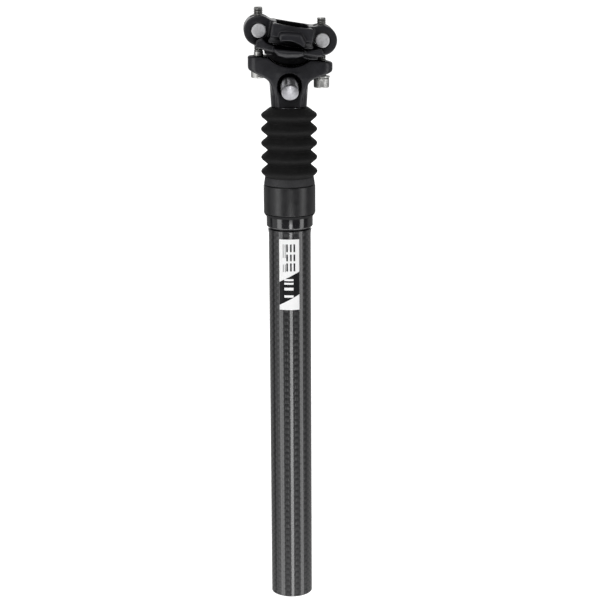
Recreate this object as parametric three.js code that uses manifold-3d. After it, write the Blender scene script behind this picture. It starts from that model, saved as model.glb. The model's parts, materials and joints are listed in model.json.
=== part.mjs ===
// Telescopic suspension seatpost for a bicycle, in millimetres.
// +Z is up along the post, +X points to the front of the bicycle, and the origin is the centre of the post's
// lower end. The post is shown at full extension, with the saddle clamp tipped nose-down as on a raked frame.

import * as THREE from 'three';
import { mergeVertices } from 'three/addons/utils/BufferGeometryUtils.js';
import Module from 'manifold-3d';

const wasm = await Module();
wasm.setup();

const GAP = 0.3; // clearance between neighbouring pieces

// Post
const POST_RADIUS = 13.6;
const POST_BORE = 12.0;
const POST_TOP = 249.2;
const POST_FLARE = 0.5; // how far the tube's upper end swells over the ferrule
const POST_FLARE_LENGTH = 3.0;

// Ferrule, collar and bearing at the top of the post
const FERRULE_FOOT = 228.0;
const FERRULE_RADIUS = 14.9;
const FERRULE_TAPER_TOP = 250.7;
const FERRULE_FLARE_FOOT = 256.3;
const FERRULE_FLARE_RADIUS = 16.3;
const FERRULE_SHOULDER = 258.9;
const FERRULE_THREAD_RADIUS = 14.0;
const FERRULE_TOP = 272.0;
const BEARING_SEAT = 261.0;
const BEARING_SEAT_RADIUS = 12.7;
const COLLAR_RADIUS = 16.55;
const COLLAR_TOP = 277.2;
const COLLAR_SPIGOT_TOP = 281.5;
const COLLAR_SPIGOT_RADIUS = 14.2;

// Sliding shaft
const SHAFT_RADIUS = 10.2;
const SHAFT_BORE = 8.0;
const SHAFT_FOOT = 200.0;
const SHAFT_BORE_TOP = 318.0;
const SHAFT_SPIGOT_RADIUS = 7.9;
const SHAFT_TOP = 345.0;
const TRAVEL = 30.0;
const CIRCLIP_GROOVE_RADIUS = 9.0;
const CIRCLIP_FOOT = 203.3;
const CIRCLIP_TOP = 204.6;
const GUIDE_RING_FOOT = 205.2;
const GUIDE_RING_TOP = 221.0;

// Guide keys that stop the shaft from turning
const KEY_COUNT = 3;
const KEY_WIDTH = 2.6;
const KEY_INNER = 9.4;
const KEY_OUTER = 12.6;
const KEY_FOOT = 252.0;
const KEY_TOP = 260.7;

// Boot
const BOOT_FOOT = COLLAR_TOP + GAP;
const BOOT_WALL = 1.3;
const CUFF_TOP = 282.3;
const CUFF_FOOT_RADIUS = 16.3;
const CUFF_TOP_RADIUS = 15.6;
const FOLD_COUNT = 5;
const FOLD_FIRST = 285.8;
const FOLD_PITCH = 8.92;
const FOLD_TIP = 18.15;
const FOLD_VALLEY = 13.7;
const BOOT_TOP = 326.3;

// Head yoke
const NECK_FOOT = BOOT_TOP + GAP;
const NECK_RADIUS = 11.9;
const NECK_FOOT_RADIUS = 11.2;
const NECK_TAPER_TOP = 338.0;
const NECK_TOP = 346.0;
const YOKE_FOOT = 337.0; // where the lobes run into the neck
const YOKE_FOOT_HALF_LENGTH = 11.4;
const REAR_LOBE_RADIUS = 7.3;
const FRONT_LOBE_RADIUS = 7.4;
const REAR_LOBE_TOP = 358.7;
const RECESS_HALF_WIDTH = 7.4;
const RECESS_FLOOR = 9.6;
const RECESS_ARCH_CENTRE = 341.2;

// Saddle clamp, measured from its tilt pivot
const PIVOT_X = 0.85;
const PIVOT_Z = 371.6;
const CLAMP_TILT = THREE.MathUtils.degToRad(9.25);
const EYE_OFFSET = 19.9;
const EYE_RADIUS = 9.2;
const EYE_HALF_LENGTH = 10.7;
const ROCKER_RADIUS = 19.0;
const ROCKER_HALF_WIDTH = 8.0;
const ROCKER_HALF_LENGTH = 15.4;
const ROCKER_LIP = 8.5;
const NOTCH_START = 10.6;
const NOTCH_HALF_WIDTH = 3.9;
const JAW_OUTER = 26.0;
const DECK_HALF_WIDTH = 21.8;
const LIP_OUTER = 25.2;
const SCOOP_HALF_WIDTH = 20.0;
const SCOOP_FLOOR = 0.8;
const JAW_INNER = 17.2;
const EAR_INNER = 11.4;
const RAIL_SPACING = 44.0;
const RAIL_DROP = 4.9;
const RAIL_GROOVE_RADIUS = 3.6;

// Clamp screws and cross dowels
const NUT_RADIUS = 4.45;
const NUT_HALF_LENGTH = 11.0;
const NUT_HOLE_RADIUS = 3.65;
const BOLT_RADIUS = 2.85;
const BOLT_HEAD_RADIUS = 4.9;
const BOLT_HEAD_HEIGHT = 6.0;
const BOLT_HOLE_RADIUS = 3.4;
const BOLT_SOCKET_FLATS = 5.0;
const BOLT_SOCKET_DEPTH = 3.0;
const REAR_POCKET_RADIUS = 5.6;
const FRONT_POCKET_RADIUS = 6.0;
const SCREW_CLEARANCE = 0.9;
const SCREW_LEAN = THREE.MathUtils.degToRad(17);
const REAR_BOLT = { x: PIVOT_X - EYE_OFFSET * Math.cos(CLAMP_TILT), foot: 344.8, tip: 388.8 };
const FRONT_BOLT = { x: PIVOT_X + EYE_OFFSET * Math.cos(CLAMP_TILT), foot: 338.3, tip: 381.9 };
const WASHER_THICKNESS = 1.2;
const WASHER_RADIUS = 5.2;

// Lock screw in the neck: a threaded plug that points down and outwards
const LOCK_TILT = THREE.MathUtils.degToRad(20);
const LOCK_RADIUS = 5.4;
const LOCK_LENGTH = 18.0;
const LOCK_POCKET_RADIUS = 7.0;
const LOCK_POCKET_DEPTH = 12.5;
const LOCK_FACE_Y = -17.5;
const LOCK_FACE_Z = 337.1;

// Spring and preload adjuster
const PLUG_FOOT = 12.0;
const PLUG_TOP = 32.0;
const PLUG_RADIUS = 10.4;
const INSERT_FOOT = 4.0;
const INSERT_TOP = 34.0;
const SEAT_FLANGE_RADIUS = 11.6;
const SEAT_FLANGE_FOOT = 36.1;
const SPRING_FOOT = 40.3;
const SPRING_TOP = 195.4;
const SPRING_TURNS = 13;
const SPRING_MEAN_RADIUS = 9.3;
const SPRING_WIRE_RADIUS = 1.7;
const BUMPER_TOP = 150.0;
const BUMPER_RADIUS = 6.6;
const SEAT_PIN_RADIUS = 3.0;
const SEAT_PIN_TOP = 100.0;
const THRUST_WASHER_THICKNESS = 1.5;
const PLUG_SOCKET_FLATS = 8.0;
const PLUG_SOCKET_DEPTH = 10.0;

// ---------------------------------------------------------------- geometry helpers

function triangleList(geometry) {
  const bare = geometry.clone();
  bare.deleteAttribute('normal');
  bare.deleteAttribute('uv');
  const merged = mergeVertices(bare, 1e-4);
  const index = Array.from(merged.index.array);
  const triangles = [];
  for (let i = 0; i < index.length; i += 3) {
    const [a, b, c] = index.slice(i, i + 3);
    if (a !== b && b !== c && c !== a) triangles.push([a, b, c]);
  }
  return { points: merged.attributes.position.array, triangles };
}

function signedVolume(points, triangles) {
  const [a, b, c] = [new THREE.Vector3(), new THREE.Vector3(), new THREE.Vector3()];
  let sum = 0;
  for (const [i, j, k] of triangles) {
    a.fromArray(points, 3 * i);
    b.fromArray(points, 3 * j);
    c.fromArray(points, 3 * k);
    sum += a.dot(b.cross(c));
  }
  return sum / 6;
}

// Turns a closed three.js geometry into a solid with its faces pointing out.
function solid(geometry) {
  const { points, triangles } = triangleList(geometry);
  const inward = signedVolume(points, triangles) < 0;
  const order = inward ? triangles.map(([a, b, c]) => [a, c, b]) : triangles;
  const mesh = new wasm.Mesh({
    numProp: 3,
    vertProperties: new Float32Array(points),
    triVerts: new Uint32Array(order.flat()),
  });
  return new wasm.Manifold(mesh);
}

// A solid of revolution about Z from a closed outline of [radius, z] corners.
function turned(outline, segments = 32) {
  const points = [...outline, outline[0]].map(([r, z]) => new THREE.Vector2(r, z));
  return solid(new THREE.LatheGeometry(points, segments).rotateX(Math.PI / 2));
}

function ring(inner, outer, foot, top, segments = 32) {
  return turned([[inner, foot], [outer, foot], [outer, top], [inner, top]], segments);
}

function rod(radius, foot, top, segments = 32) {
  const geometry = new THREE.CylinderGeometry(radius, radius, top - foot, segments);
  return solid(geometry.rotateX(Math.PI / 2).translate(0, 0, (foot + top) / 2));
}

// A cylinder along Y, centred on the XZ plane.
function crossRod(radius, halfLength, x, z, segments = 28) {
  const geometry = new THREE.CylinderGeometry(radius, radius, 2 * halfLength, segments);
  return solid(geometry.translate(x, 0, z));
}

// A cylinder along X.
function railRod(radius, halfLength, y, z, segments = 24) {
  const geometry = new THREE.CylinderGeometry(radius, radius, 2 * halfLength, segments);
  return solid(geometry.rotateZ(Math.PI / 2).translate(0, y, z));
}

function box(x0, x1, y0, y1, z0, z1) {
  const geometry = new THREE.BoxGeometry(x1 - x0, y1 - y0, z1 - z0);
  return solid(geometry.translate((x0 + x1) / 2, (y0 + y1) / 2, (z0 + z1) / 2));
}

// An outline in the XZ plane, extruded from y0 to y1.
function sideSlab(shape, y0, y1, curveSegments = 6) {
  const geometry = new THREE.ExtrudeGeometry(shape, { depth: y1 - y0, bevelEnabled: false, curveSegments });
  return solid(geometry.rotateX(Math.PI / 2).translate(0, y1, 0));
}

// An outline in the XY plane, extruded from z0 to z1.
function planSlab(shape, z0, z1, curveSegments = 8) {
  const geometry = new THREE.ExtrudeGeometry(shape, { depth: z1 - z0, bevelEnabled: false, curveSegments });
  return solid(geometry.translate(0, 0, z0));
}

function polygon(corners) {
  return new THREE.Shape(corners.map(([x, y]) => new THREE.Vector2(x, y)));
}

// The outline round two circles on the x axis, joined by their outer tangents.
function taperedCapsule(x0, r0, x1, r1) {
  const tangent = Math.acos((r0 - r1) / (x1 - x0));
  const shape = new THREE.Shape();
  shape.absarc(x0, 0, r0, tangent, 2 * Math.PI - tangent, false);
  shape.absarc(x1, 0, r1, -tangent, tangent, false);
  shape.closePath();
  return shape;
}

function hexagon(acrossFlats) {
  const radius = acrossFlats / Math.sqrt(3);
  const corner = (i) => [radius * Math.cos(i * Math.PI / 3), radius * Math.sin(i * Math.PI / 3)];
  return polygon([0, 1, 2, 3, 4, 5].map(corner));
}

const join = (...solids) => solids.reduce((whole, next) => whole.add(next));
const cut = (whole, ...tools) => tools.reduce((rest, tool) => rest.subtract(tool), whole);
const bothSides = (make) => join(make(1), make(-1));

// ---------------------------------------------------------------- materials and meshes

const FINISHES = {
  carbon: { color: 0x17181a, roughness: 0.22, metalness: 0.0 },
  glossBlack: { color: 0x141416, roughness: 0.2, metalness: 0.6 },
  satinBlack: { color: 0x1d1d20, roughness: 0.42, metalness: 0.7 },
  forgedBlack: { color: 0x232327, roughness: 0.48, metalness: 0.6 },
  rubber: { color: 0x141414, roughness: 0.85, metalness: 0.0 },
  zincSteel: { color: 0xb9b9b6, roughness: 0.35, metalness: 1.0 },
  shaftAlloy: { color: 0x9a9ca0, roughness: 0.25, metalness: 1.0 },
  springSteel: { color: 0x50545a, roughness: 0.4, metalness: 0.9 },
  acetal: { color: 0xe4e2da, roughness: 0.5, metalness: 0.0 },
  brass: { color: 0xb08d3c, roughness: 0.35, metalness: 1.0 },
  elastomer: { color: 0x9c7a2e, roughness: 0.6, metalness: 0.0 },
};

function piece(name, body, finish) {
  const source = body.getMesh();
  const geometry = new THREE.BufferGeometry();
  geometry.setAttribute('position', new THREE.BufferAttribute(new Float32Array(source.vertProperties), 3));
  geometry.setIndex(new THREE.BufferAttribute(new Uint32Array(source.triVerts), 1));
  geometry.computeVertexNormals();
  const mesh = new THREE.Mesh(geometry, new THREE.MeshStandardMaterial(FINISHES[finish]));
  mesh.name = name;
  return mesh;
}

// ---------------------------------------------------------------- post

function postTube() {
  const edge = 0.4;
  return turned([
    [POST_BORE, 0],
    [POST_RADIUS - edge, 0],
    [POST_RADIUS, edge],
    [POST_RADIUS, POST_TOP - POST_FLARE_LENGTH],
    [POST_RADIUS + POST_FLARE, POST_TOP - edge],
    [POST_RADIUS, POST_TOP],
    [POST_BORE, POST_TOP],
  ], 40);
}

function keyBlock(width, inner, outer, foot, top, index) {
  const block = box(inner, outer, -width / 2, width / 2, foot, top);
  return block.rotate([0, 0, 90 + index * 360 / KEY_COUNT]);
}

function keyNumbers() {
  return Array.from({ length: KEY_COUNT }, (_, index) => index);
}

function postFerrule() {
  const bore = SHAFT_RADIUS + 0.6;
  const blank = turned([
    [bore, FERRULE_FOOT],
    [POST_BORE - GAP, FERRULE_FOOT],
    [POST_BORE - GAP, POST_TOP + GAP],
    [POST_RADIUS, POST_TOP + GAP],
    [FERRULE_RADIUS, FERRULE_TAPER_TOP],
    [FERRULE_RADIUS, FERRULE_FLARE_FOOT],
    [FERRULE_FLARE_RADIUS, FERRULE_SHOULDER],
    [FERRULE_THREAD_RADIUS, FERRULE_SHOULDER],
    [FERRULE_THREAD_RADIUS, FERRULE_TOP],
    [BEARING_SEAT_RADIUS, FERRULE_TOP],
    [BEARING_SEAT_RADIUS, BEARING_SEAT],
    [bore, BEARING_SEAT],
  ]);
  const slots = keyNumbers().map((index) =>
    keyBlock(KEY_WIDTH + 2 * GAP, KEY_INNER, KEY_OUTER + GAP, KEY_FOOT - GAP, BEARING_SEAT + 1, index));
  return cut(blank, ...slots);
}

function topCollar() {
  const bore = FERRULE_THREAD_RADIUS + GAP;
  const sealPocket = 12.9;
  const lip = 11.3;
  const edge = 0.5;
  const foot = FERRULE_SHOULDER + GAP;
  const shelf = FERRULE_TOP + 0.6;
  return turned([
    [bore, foot],
    [COLLAR_RADIUS - edge, foot],
    [COLLAR_RADIUS, foot + edge],
    [COLLAR_RADIUS, COLLAR_TOP - edge],
    [COLLAR_RADIUS - edge, COLLAR_TOP],
    [COLLAR_SPIGOT_RADIUS, COLLAR_TOP],
    [COLLAR_SPIGOT_RADIUS, COLLAR_SPIGOT_TOP],
    [lip, COLLAR_SPIGOT_TOP],
    [lip, COLLAR_TOP],
    [sealPocket, COLLAR_TOP],
    [sealPocket, shelf],
    [bore, shelf],
  ], 36);
}

function boot() {
  const tipFlat = 0.5;
  const outer = [[CUFF_FOOT_RADIUS, BOOT_FOOT], [CUFF_TOP_RADIUS, CUFF_TOP]];
  const inner = [[COLLAR_SPIGOT_RADIUS + GAP, BOOT_FOOT], [COLLAR_SPIGOT_RADIUS + GAP, CUFF_TOP + 0.4]];
  for (let fold = 0; fold < FOLD_COUNT; fold += 1) {
    const tip = FOLD_FIRST + fold * FOLD_PITCH;
    outer.push([FOLD_TIP, tip - tipFlat], [FOLD_TIP, tip + tipFlat]);
    inner.push([FOLD_TIP - BOOT_WALL, tip]);
    if (fold < FOLD_COUNT - 1) {
      outer.push([FOLD_VALLEY, tip + FOLD_PITCH / 2]);
      inner.push([FOLD_VALLEY - BOOT_WALL, tip + FOLD_PITCH / 2]);
    }
  }
  outer.push([NECK_FOOT_RADIUS + GAP, BOOT_TOP]);
  inner.push([SHAFT_RADIUS + 0.4, BOOT_TOP - BOOT_WALL], [SHAFT_RADIUS + 0.4, BOOT_TOP]);
  return turned([...outer, ...inner.reverse()], 28);
}

function upperBushing() {
  return ring(SHAFT_RADIUS + GAP, BEARING_SEAT_RADIUS - GAP, BEARING_SEAT + GAP, FERRULE_TOP);
}

function wiperSeal() {
  const foot = FERRULE_TOP + 0.9;
  const top = COLLAR_TOP - GAP;
  return turned([
    [SHAFT_RADIUS + 1.0, foot],
    [12.6, foot],
    [12.6, top],
    [SHAFT_RADIUS + 0.7, top],
    [SHAFT_RADIUS + GAP, top - 1.2],
  ]);
}

// ---------------------------------------------------------------- sliding shaft

function lockPlug(radius, length) {
  const geometry = new THREE.CylinderGeometry(radius, radius, length, 32);
  geometry.translate(0, length / 2, 0);
  return solid(geometry.rotateX(LOCK_TILT).translate(0, LOCK_FACE_Y, LOCK_FACE_Z));
}

function innerShaft() {
  const blank = turned([
    [SHAFT_BORE, SHAFT_FOOT],
    [SHAFT_RADIUS, SHAFT_FOOT],
    [SHAFT_RADIUS, BOOT_TOP],
    [SHAFT_SPIGOT_RADIUS, BOOT_TOP],
    [SHAFT_SPIGOT_RADIUS, SHAFT_TOP],
    [0, SHAFT_TOP],
    [0, SHAFT_BORE_TOP],
    [SHAFT_BORE, SHAFT_BORE_TOP],
  ]);
  const grooveFoot = KEY_FOOT - 3;
  const grooveTop = KEY_TOP + TRAVEL + 8;
  const grooves = keyNumbers().map((index) =>
    keyBlock(KEY_WIDTH + 2 * GAP, KEY_INNER - GAP, SHAFT_RADIUS + 1, grooveFoot, grooveTop, index));
  const circlipGroove = ring(CIRCLIP_GROOVE_RADIUS, SHAFT_RADIUS + 1, CIRCLIP_FOOT - GAP, CIRCLIP_TOP + GAP);
  return cut(blank, ...grooves, circlipGroove, lockPlug(LOCK_RADIUS + GAP, LOCK_LENGTH + GAP));
}

function shaftCirclip() {
  const opening = box(8, 13, -2.5, 2.5, CIRCLIP_FOOT - 1, CIRCLIP_TOP + 1);
  return cut(ring(CIRCLIP_GROOVE_RADIUS + GAP, 11.3, CIRCLIP_FOOT, CIRCLIP_TOP), opening);
}

function lowerGuideRing() {
  const slit = box(-13, -8, -0.8, 0.8, GUIDE_RING_FOOT - 1, GUIDE_RING_TOP + 1);
  return cut(ring(SHAFT_RADIUS + GAP, POST_BORE - GAP, GUIDE_RING_FOOT, GUIDE_RING_TOP), slit);
}

function topOutRing() {
  return ring(SHAFT_RADIUS + GAP, POST_BORE - 0.4, GUIDE_RING_TOP + GAP, FERRULE_FOOT - GAP);
}

// The seat's nose centres the spring, and its upper end plugs the shaft's bore.
function upperSpringSeat() {
  const noseRadius = 5;
  const noseFoot = SPRING_TOP - 4.4;
  const flangeTop = SHAFT_FOOT - GAP;
  const plugTop = SHAFT_FOOT + 12;
  return turned([
    [0, noseFoot],
    [noseRadius, noseFoot],
    [noseRadius, SPRING_TOP + GAP],
    [SEAT_FLANGE_RADIUS, SPRING_TOP + GAP],
    [SEAT_FLANGE_RADIUS, flangeTop],
    [SHAFT_BORE - GAP, flangeTop],
    [SHAFT_BORE - GAP, plugTop],
    [0, plugTop],
  ]);
}

// ---------------------------------------------------------------- head

// Side outline of the yoke, from the top of the rear lobe round the underside to the front lobe.
function yokeOutline() {
  const rear = REAR_BOLT.x - REAR_LOBE_RADIUS;
  const front = FRONT_BOLT.x + FRONT_LOBE_RADIUS;
  const shape = new THREE.Shape();
  shape.moveTo(rear, REAR_LOBE_TOP);
  shape.lineTo(rear, 351.4);
  shape.lineTo(rear + 1.4, 349.3);
  shape.lineTo(-15.8, 345.1);
  shape.quadraticCurveTo(-12.4, 342.4, -YOKE_FOOT_HALF_LENGTH, YOKE_FOOT);
  shape.lineTo(YOKE_FOOT_HALF_LENGTH, YOKE_FOOT);
  shape.quadraticCurveTo(12.4, 343.6, 16.0, 344.4);
  shape.lineTo(front - 1.4, 348.2);
  shape.lineTo(front, 350.4);
  shape.lineTo(front, 354.2);
  shape.lineTo(12.0, 357.4);
  shape.lineTo(6.0, REAR_LOBE_TOP);
  shape.closePath();
  return shape;
}

// The flat on each side of the neck, with its arched top.
function neckRecess(side) {
  const shape = new THREE.Shape();
  shape.moveTo(-RECESS_HALF_WIDTH, NECK_FOOT - 1);
  shape.lineTo(RECESS_HALF_WIDTH, NECK_FOOT - 1);
  shape.lineTo(RECESS_HALF_WIDTH, RECESS_ARCH_CENTRE);
  shape.absarc(0, RECESS_ARCH_CENTRE, RECESS_HALF_WIDTH, 0, Math.PI, false);
  shape.closePath();
  const [near, far] = [side * RECESS_FLOOR, side * 16];
  return sideSlab(shape, Math.min(near, far), Math.max(near, far));
}

function boltPassage(bolt, pocketRadius) {
  const pocketTop = bolt.foot + BOLT_HEAD_HEIGHT + WASHER_THICKNESS + 2 * GAP;
  const hole = rod(BOLT_HOLE_RADIUS, bolt.foot, REAR_LOBE_TOP + 5, 24);
  const pocket = rod(pocketRadius, bolt.foot - 6, pocketTop, 24);
  return join(hole, pocket).translate([bolt.x, 0, 0]);
}

function headYoke() {
  const [blankFoot, blankTop] = [YOKE_FOOT - 5, REAR_LOBE_TOP + 3];
  const plan = join(
    planSlab(taperedCapsule(REAR_BOLT.x, REAR_LOBE_RADIUS, 0, NECK_RADIUS), blankFoot, blankTop),
    planSlab(taperedCapsule(0, NECK_RADIUS, FRONT_BOLT.x, FRONT_LOBE_RADIUS), blankFoot, blankTop),
  );
  const lobes = plan.intersect(sideSlab(yokeOutline(), -14, 14));
  const neck = turned([
    [0, NECK_FOOT],
    [NECK_FOOT_RADIUS, NECK_FOOT],
    [NECK_RADIUS, NECK_TAPER_TOP],
    [0, NECK_TOP],
  ], 36);
  const socket = rod(SHAFT_SPIGOT_RADIUS + GAP, NECK_FOOT - 1, SHAFT_TOP + GAP);
  const saddle = crossRod(ROCKER_RADIUS + GAP, 15, PIVOT_X, PIVOT_Z, 72);
  return cut(
    join(lobes, neck),
    socket,
    saddle,
    neckRecess(1),
    neckRecess(-1),
    lockPlug(LOCK_RADIUS + GAP, LOCK_LENGTH + GAP),
    lockPlug(LOCK_POCKET_RADIUS, LOCK_POCKET_DEPTH),
    boltPassage(REAR_BOLT, REAR_POCKET_RADIUS),
    boltPassage(FRONT_BOLT, FRONT_POCKET_RADIUS),
  );
}

function clampBolt(bolt) {
  const headTop = bolt.foot + BOLT_HEAD_HEIGHT;
  const body = turned([
    [0, bolt.foot],
    [BOLT_HEAD_RADIUS - 0.4, bolt.foot],
    [BOLT_HEAD_RADIUS, bolt.foot + 0.4],
    [BOLT_HEAD_RADIUS, headTop],
    [BOLT_RADIUS, headTop],
    [BOLT_RADIUS, bolt.tip - 0.5],
    [BOLT_RADIUS - 0.5, bolt.tip],
    [0, bolt.tip],
  ], 24);
  const socket = planSlab(hexagon(BOLT_SOCKET_FLATS), bolt.foot - 1, bolt.foot + BOLT_SOCKET_DEPTH);
  return cut(body, socket).translate([bolt.x, 0, 0]);
}

function boltWasher(bolt) {
  const foot = bolt.foot + BOLT_HEAD_HEIGHT + GAP;
  const washer = ring(BOLT_RADIUS + GAP, WASHER_RADIUS, foot, foot + WASHER_THICKNESS, 24);
  return washer.translate([bolt.x, 0, 0]);
}

// ---------------------------------------------------------------- saddle clamp, about its pivot

// The room a clamp screw needs in its eye as the clamp rocks. The screw stays upright, so it leans back
// in the clamp by the clamp's own slope: from none at full nose-up to SCREW_LEAN at full nose-down.
function screwSweep(x) {
  const waist = BOLT_RADIUS + SCREW_CLEARANCE;
  const reach = EYE_RADIUS + 4;
  const lean = reach * Math.tan(SCREW_LEAN);
  const shape = polygon([
    [x - waist, -reach],
    [x + waist + lean, -reach],
    [x + waist, 0],
    [x + waist, reach],
    [x - waist - lean, reach],
    [x - waist, 0],
  ]);
  return sideSlab(shape, -BOLT_HOLE_RADIUS, BOLT_HOLE_RADIUS);
}

function railGrooves() {
  return bothSides((side) => railRod(RAIL_GROOVE_RADIUS, 24, side * RAIL_SPACING / 2, -RAIL_DROP));
}

// The deck spans both rails, with a raised end beside each eye.
function upperClampDeck() {
  return sideSlab(polygon([
    [-12.8, -4.4],
    [-12.8, 5.8],
    [-11.2, 6.9],
    [-9.0, 6.7],
    [-4.5, 6.6],
    [4.5, 6.6],
    [9.0, 6.6],
    [11.8, 6.7],
    [13.4, 5.6],
    [13.4, -4.4],
  ]), -DECK_HALF_WIDTH, DECK_HALF_WIDTH);
}

// One upper jaw and its lip. The arch under the jaw opens the rail groove to the side.
function upperJaw(side) {
  const slab = (corners, inner, outer) =>
    sideSlab(polygon(corners), Math.min(side * inner, side * outer), Math.max(side * inner, side * outer));
  const jaw = slab([
    [-7.8, -5.6],
    [-7.8, 1.6],
    [-5.0, 2.3],
    [5.5, 3.2],
    [8.6, -0.6],
    [10.4, -5.6],
  ], DECK_HALF_WIDTH - 4, JAW_OUTER);
  const lip = slab([[-13.4, -5.6], [-13.4, -3.4], [14.4, -3.4], [14.4, -5.6]], EAR_INNER + 0.6, LIP_OUTER);
  const arch = slab([
    [-9.0, -7.0],
    [-6.4, -3.6],
    [-3.5, -2.5],
    [0.5, -2.2],
    [4.5, -3.0],
    [8.4, -5.6],
    [9.2, -7.0],
  ], RAIL_SPACING / 2 + 0.4, JAW_OUTER + 1);
  return cut(join(jaw, lip), arch);
}

function upperClamp() {
  const arms = sideSlab(polygon([
    [-EYE_OFFSET, -EYE_RADIUS],
    [-13, -5.0],
    [13, -5.0],
    [EYE_OFFSET, -EYE_RADIUS],
    [EYE_OFFSET, EYE_RADIUS],
    [12, 7.0],
    [-12, 7.0],
    [-EYE_OFFSET, EYE_RADIUS],
  ]), -EYE_HALF_LENGTH, EYE_HALF_LENGTH);
  const eyes = bothSides((side) => crossRod(EYE_RADIUS, EYE_HALF_LENGTH, side * EYE_OFFSET, 0, 36));
  const topScoop = box(-9.4, 9.8, -SCOOP_HALF_WIDTH, SCOOP_HALF_WIDTH, SCOOP_FLOOR, 12);
  const dowelBores = bothSides((side) => crossRod(NUT_RADIUS + GAP, 12, side * EYE_OFFSET, 0));
  return cut(
    join(upperClampDeck(), bothSides(upperJaw), arms, eyes),
    topScoop,
    dowelBores,
    screwSweep(-EYE_OFFSET),
    screwSweep(EYE_OFFSET),
    railGrooves(),
  );
}

// Thin skirts under the ears, beside the yoke's lobes.
function earSkirts() {
  const [inner, outer] = [EAR_INNER, EAR_INNER + 1.3];
  const front = polygon([[9.4, -9.4], [9.4, -12.2], [14, -12.6], [18.8, -11.9], [18.8, -9.4]]);
  const rear = polygon([[-9.4, -10], [-14.6, -10], [-14.6, -13.4], [-9.4, -13.4]]);
  return join(sideSlab(front, inner, outer), sideSlab(rear, inner, outer));
}

// The ears reach past the jaws beside the eyes.
function earOutline() {
  return polygon([
    [-20.8, -10.2],
    [-11.4, -10.7],
    [0, -11.6],
    [9.2, -9.8],
    [18.6, -9.8],
    [21.8, -8.8],
    [20.8, -5.6],
    [17.8, -5.0],
    [14.8, -5.9],
    [9.4, -6.9],
    [-9.4, -6.9],
    [-14.3, -5.9],
    [-17.2, -3.9],
    [-20.6, -6.0],
  ]);
}

function lowerJawOutline() {
  return polygon([
    [-9.2, -8.0],
    [-9.9, -9.6],
    [-6.4, -12.1],
    [-1.5, -12.8],
    [5.0, -11.7],
    [9.4, -9.8],
    [9.4, -6.3],
    [0, -7.3],
  ]);
}

// The belly that rocks in the yoke's saddle, notched at both ends for the screws.
function rocker() {
  const start = Math.asin(ROCKER_HALF_LENGTH / ROCKER_RADIUS);
  const shape = new THREE.Shape();
  shape.moveTo(-ROCKER_HALF_LENGTH, -ROCKER_LIP);
  shape.absarc(0, 0, ROCKER_RADIUS, -Math.PI / 2 - start, -Math.PI / 2 + start, false);
  shape.lineTo(ROCKER_HALF_LENGTH, -ROCKER_LIP);
  shape.closePath();
  const reach = ROCKER_RADIUS + 1;
  const notch = box(NOTCH_START, reach, -NOTCH_HALF_WIDTH, NOTCH_HALF_WIDTH, -reach, 0);
  const belly = sideSlab(shape, -ROCKER_HALF_WIDTH, ROCKER_HALF_WIDTH, 14);
  return cut(belly, notch, notch.mirror([1, 0, 0]));
}

function lowerClamp() {
  const ears = sideSlab(earOutline(), EAR_INNER, JAW_INNER);
  const jaw = sideSlab(lowerJawOutline(), JAW_INNER - 0.2, JAW_OUTER);
  const side = join(ears, jaw, earSkirts());
  const bridge = box(-9, 9, -EAR_INNER - 0.2, EAR_INNER + 0.2, -11, -7);
  return cut(join(side, side.mirror([0, 1, 0]), bridge, rocker()), railGrooves());
}

function barrelNut(bolt, z) {
  const body = crossRod(NUT_RADIUS, NUT_HALF_LENGTH, 0, z);
  return cut(body, rod(NUT_HOLE_RADIUS, z - 8, z + 8, 24)).translate([bolt.x, 0, 0]);
}

function clampGroup() {
  const group = new THREE.Group();
  group.position.set(PIVOT_X, 0, PIVOT_Z);
  group.rotation.y = CLAMP_TILT;
  group.add(piece('upper_clamp', upperClamp(), 'forgedBlack'));
  group.add(piece('lower_clamp', lowerClamp(), 'forgedBlack'));
  return group;
}

// ---------------------------------------------------------------- spring and preload

class Helix extends THREE.Curve {
  getPoint(t, target = new THREE.Vector3()) {
    const angle = 2 * Math.PI * SPRING_TURNS * t;
    const rise = SPRING_TOP - SPRING_FOOT - 2 * (SPRING_WIRE_RADIUS + 0.1);
    return target.set(
      SPRING_MEAN_RADIUS * Math.cos(angle),
      SPRING_MEAN_RADIUS * Math.sin(angle),
      SPRING_FOOT + SPRING_WIRE_RADIUS + 0.1 + rise * t,
    );
  }
}

function mainSpring() {
  const section = new THREE.Shape();
  section.absarc(0, 0, SPRING_WIRE_RADIUS, 0, 2 * Math.PI, false);
  return solid(new THREE.ExtrudeGeometry(section, {
    steps: SPRING_TURNS * 12,
    curveSegments: 3,
    bevelEnabled: false,
    extrudePath: new Helix(),
  }));
}

// A flanged seat whose pin holds the bumper.
function lowerSpringSeat() {
  const stemRadius = 9.8;
  const stemFoot = PLUG_TOP + THRUST_WASHER_THICKNESS + 2 * GAP;
  return turned([
    [0, stemFoot],
    [stemRadius, stemFoot],
    [stemRadius, SEAT_FLANGE_FOOT],
    [SEAT_FLANGE_RADIUS, SEAT_FLANGE_FOOT],
    [SEAT_FLANGE_RADIUS, SPRING_FOOT - GAP],
    [SEAT_PIN_RADIUS, SPRING_FOOT - GAP],
    [SEAT_PIN_RADIUS, SEAT_PIN_TOP],
    [0, SEAT_PIN_TOP],
  ]);
}

function preloadPlug() {
  const socket = planSlab(hexagon(PLUG_SOCKET_FLATS), PLUG_FOOT - 1, PLUG_FOOT + PLUG_SOCKET_DEPTH);
  return cut(rod(PLUG_RADIUS, PLUG_FOOT, PLUG_TOP), socket);
}

function thrustWasher() {
  const foot = PLUG_TOP + GAP;
  return ring(SEAT_PIN_RADIUS, PLUG_RADIUS - 0.2, foot, foot + THRUST_WASHER_THICKNESS, 28);
}

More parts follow.
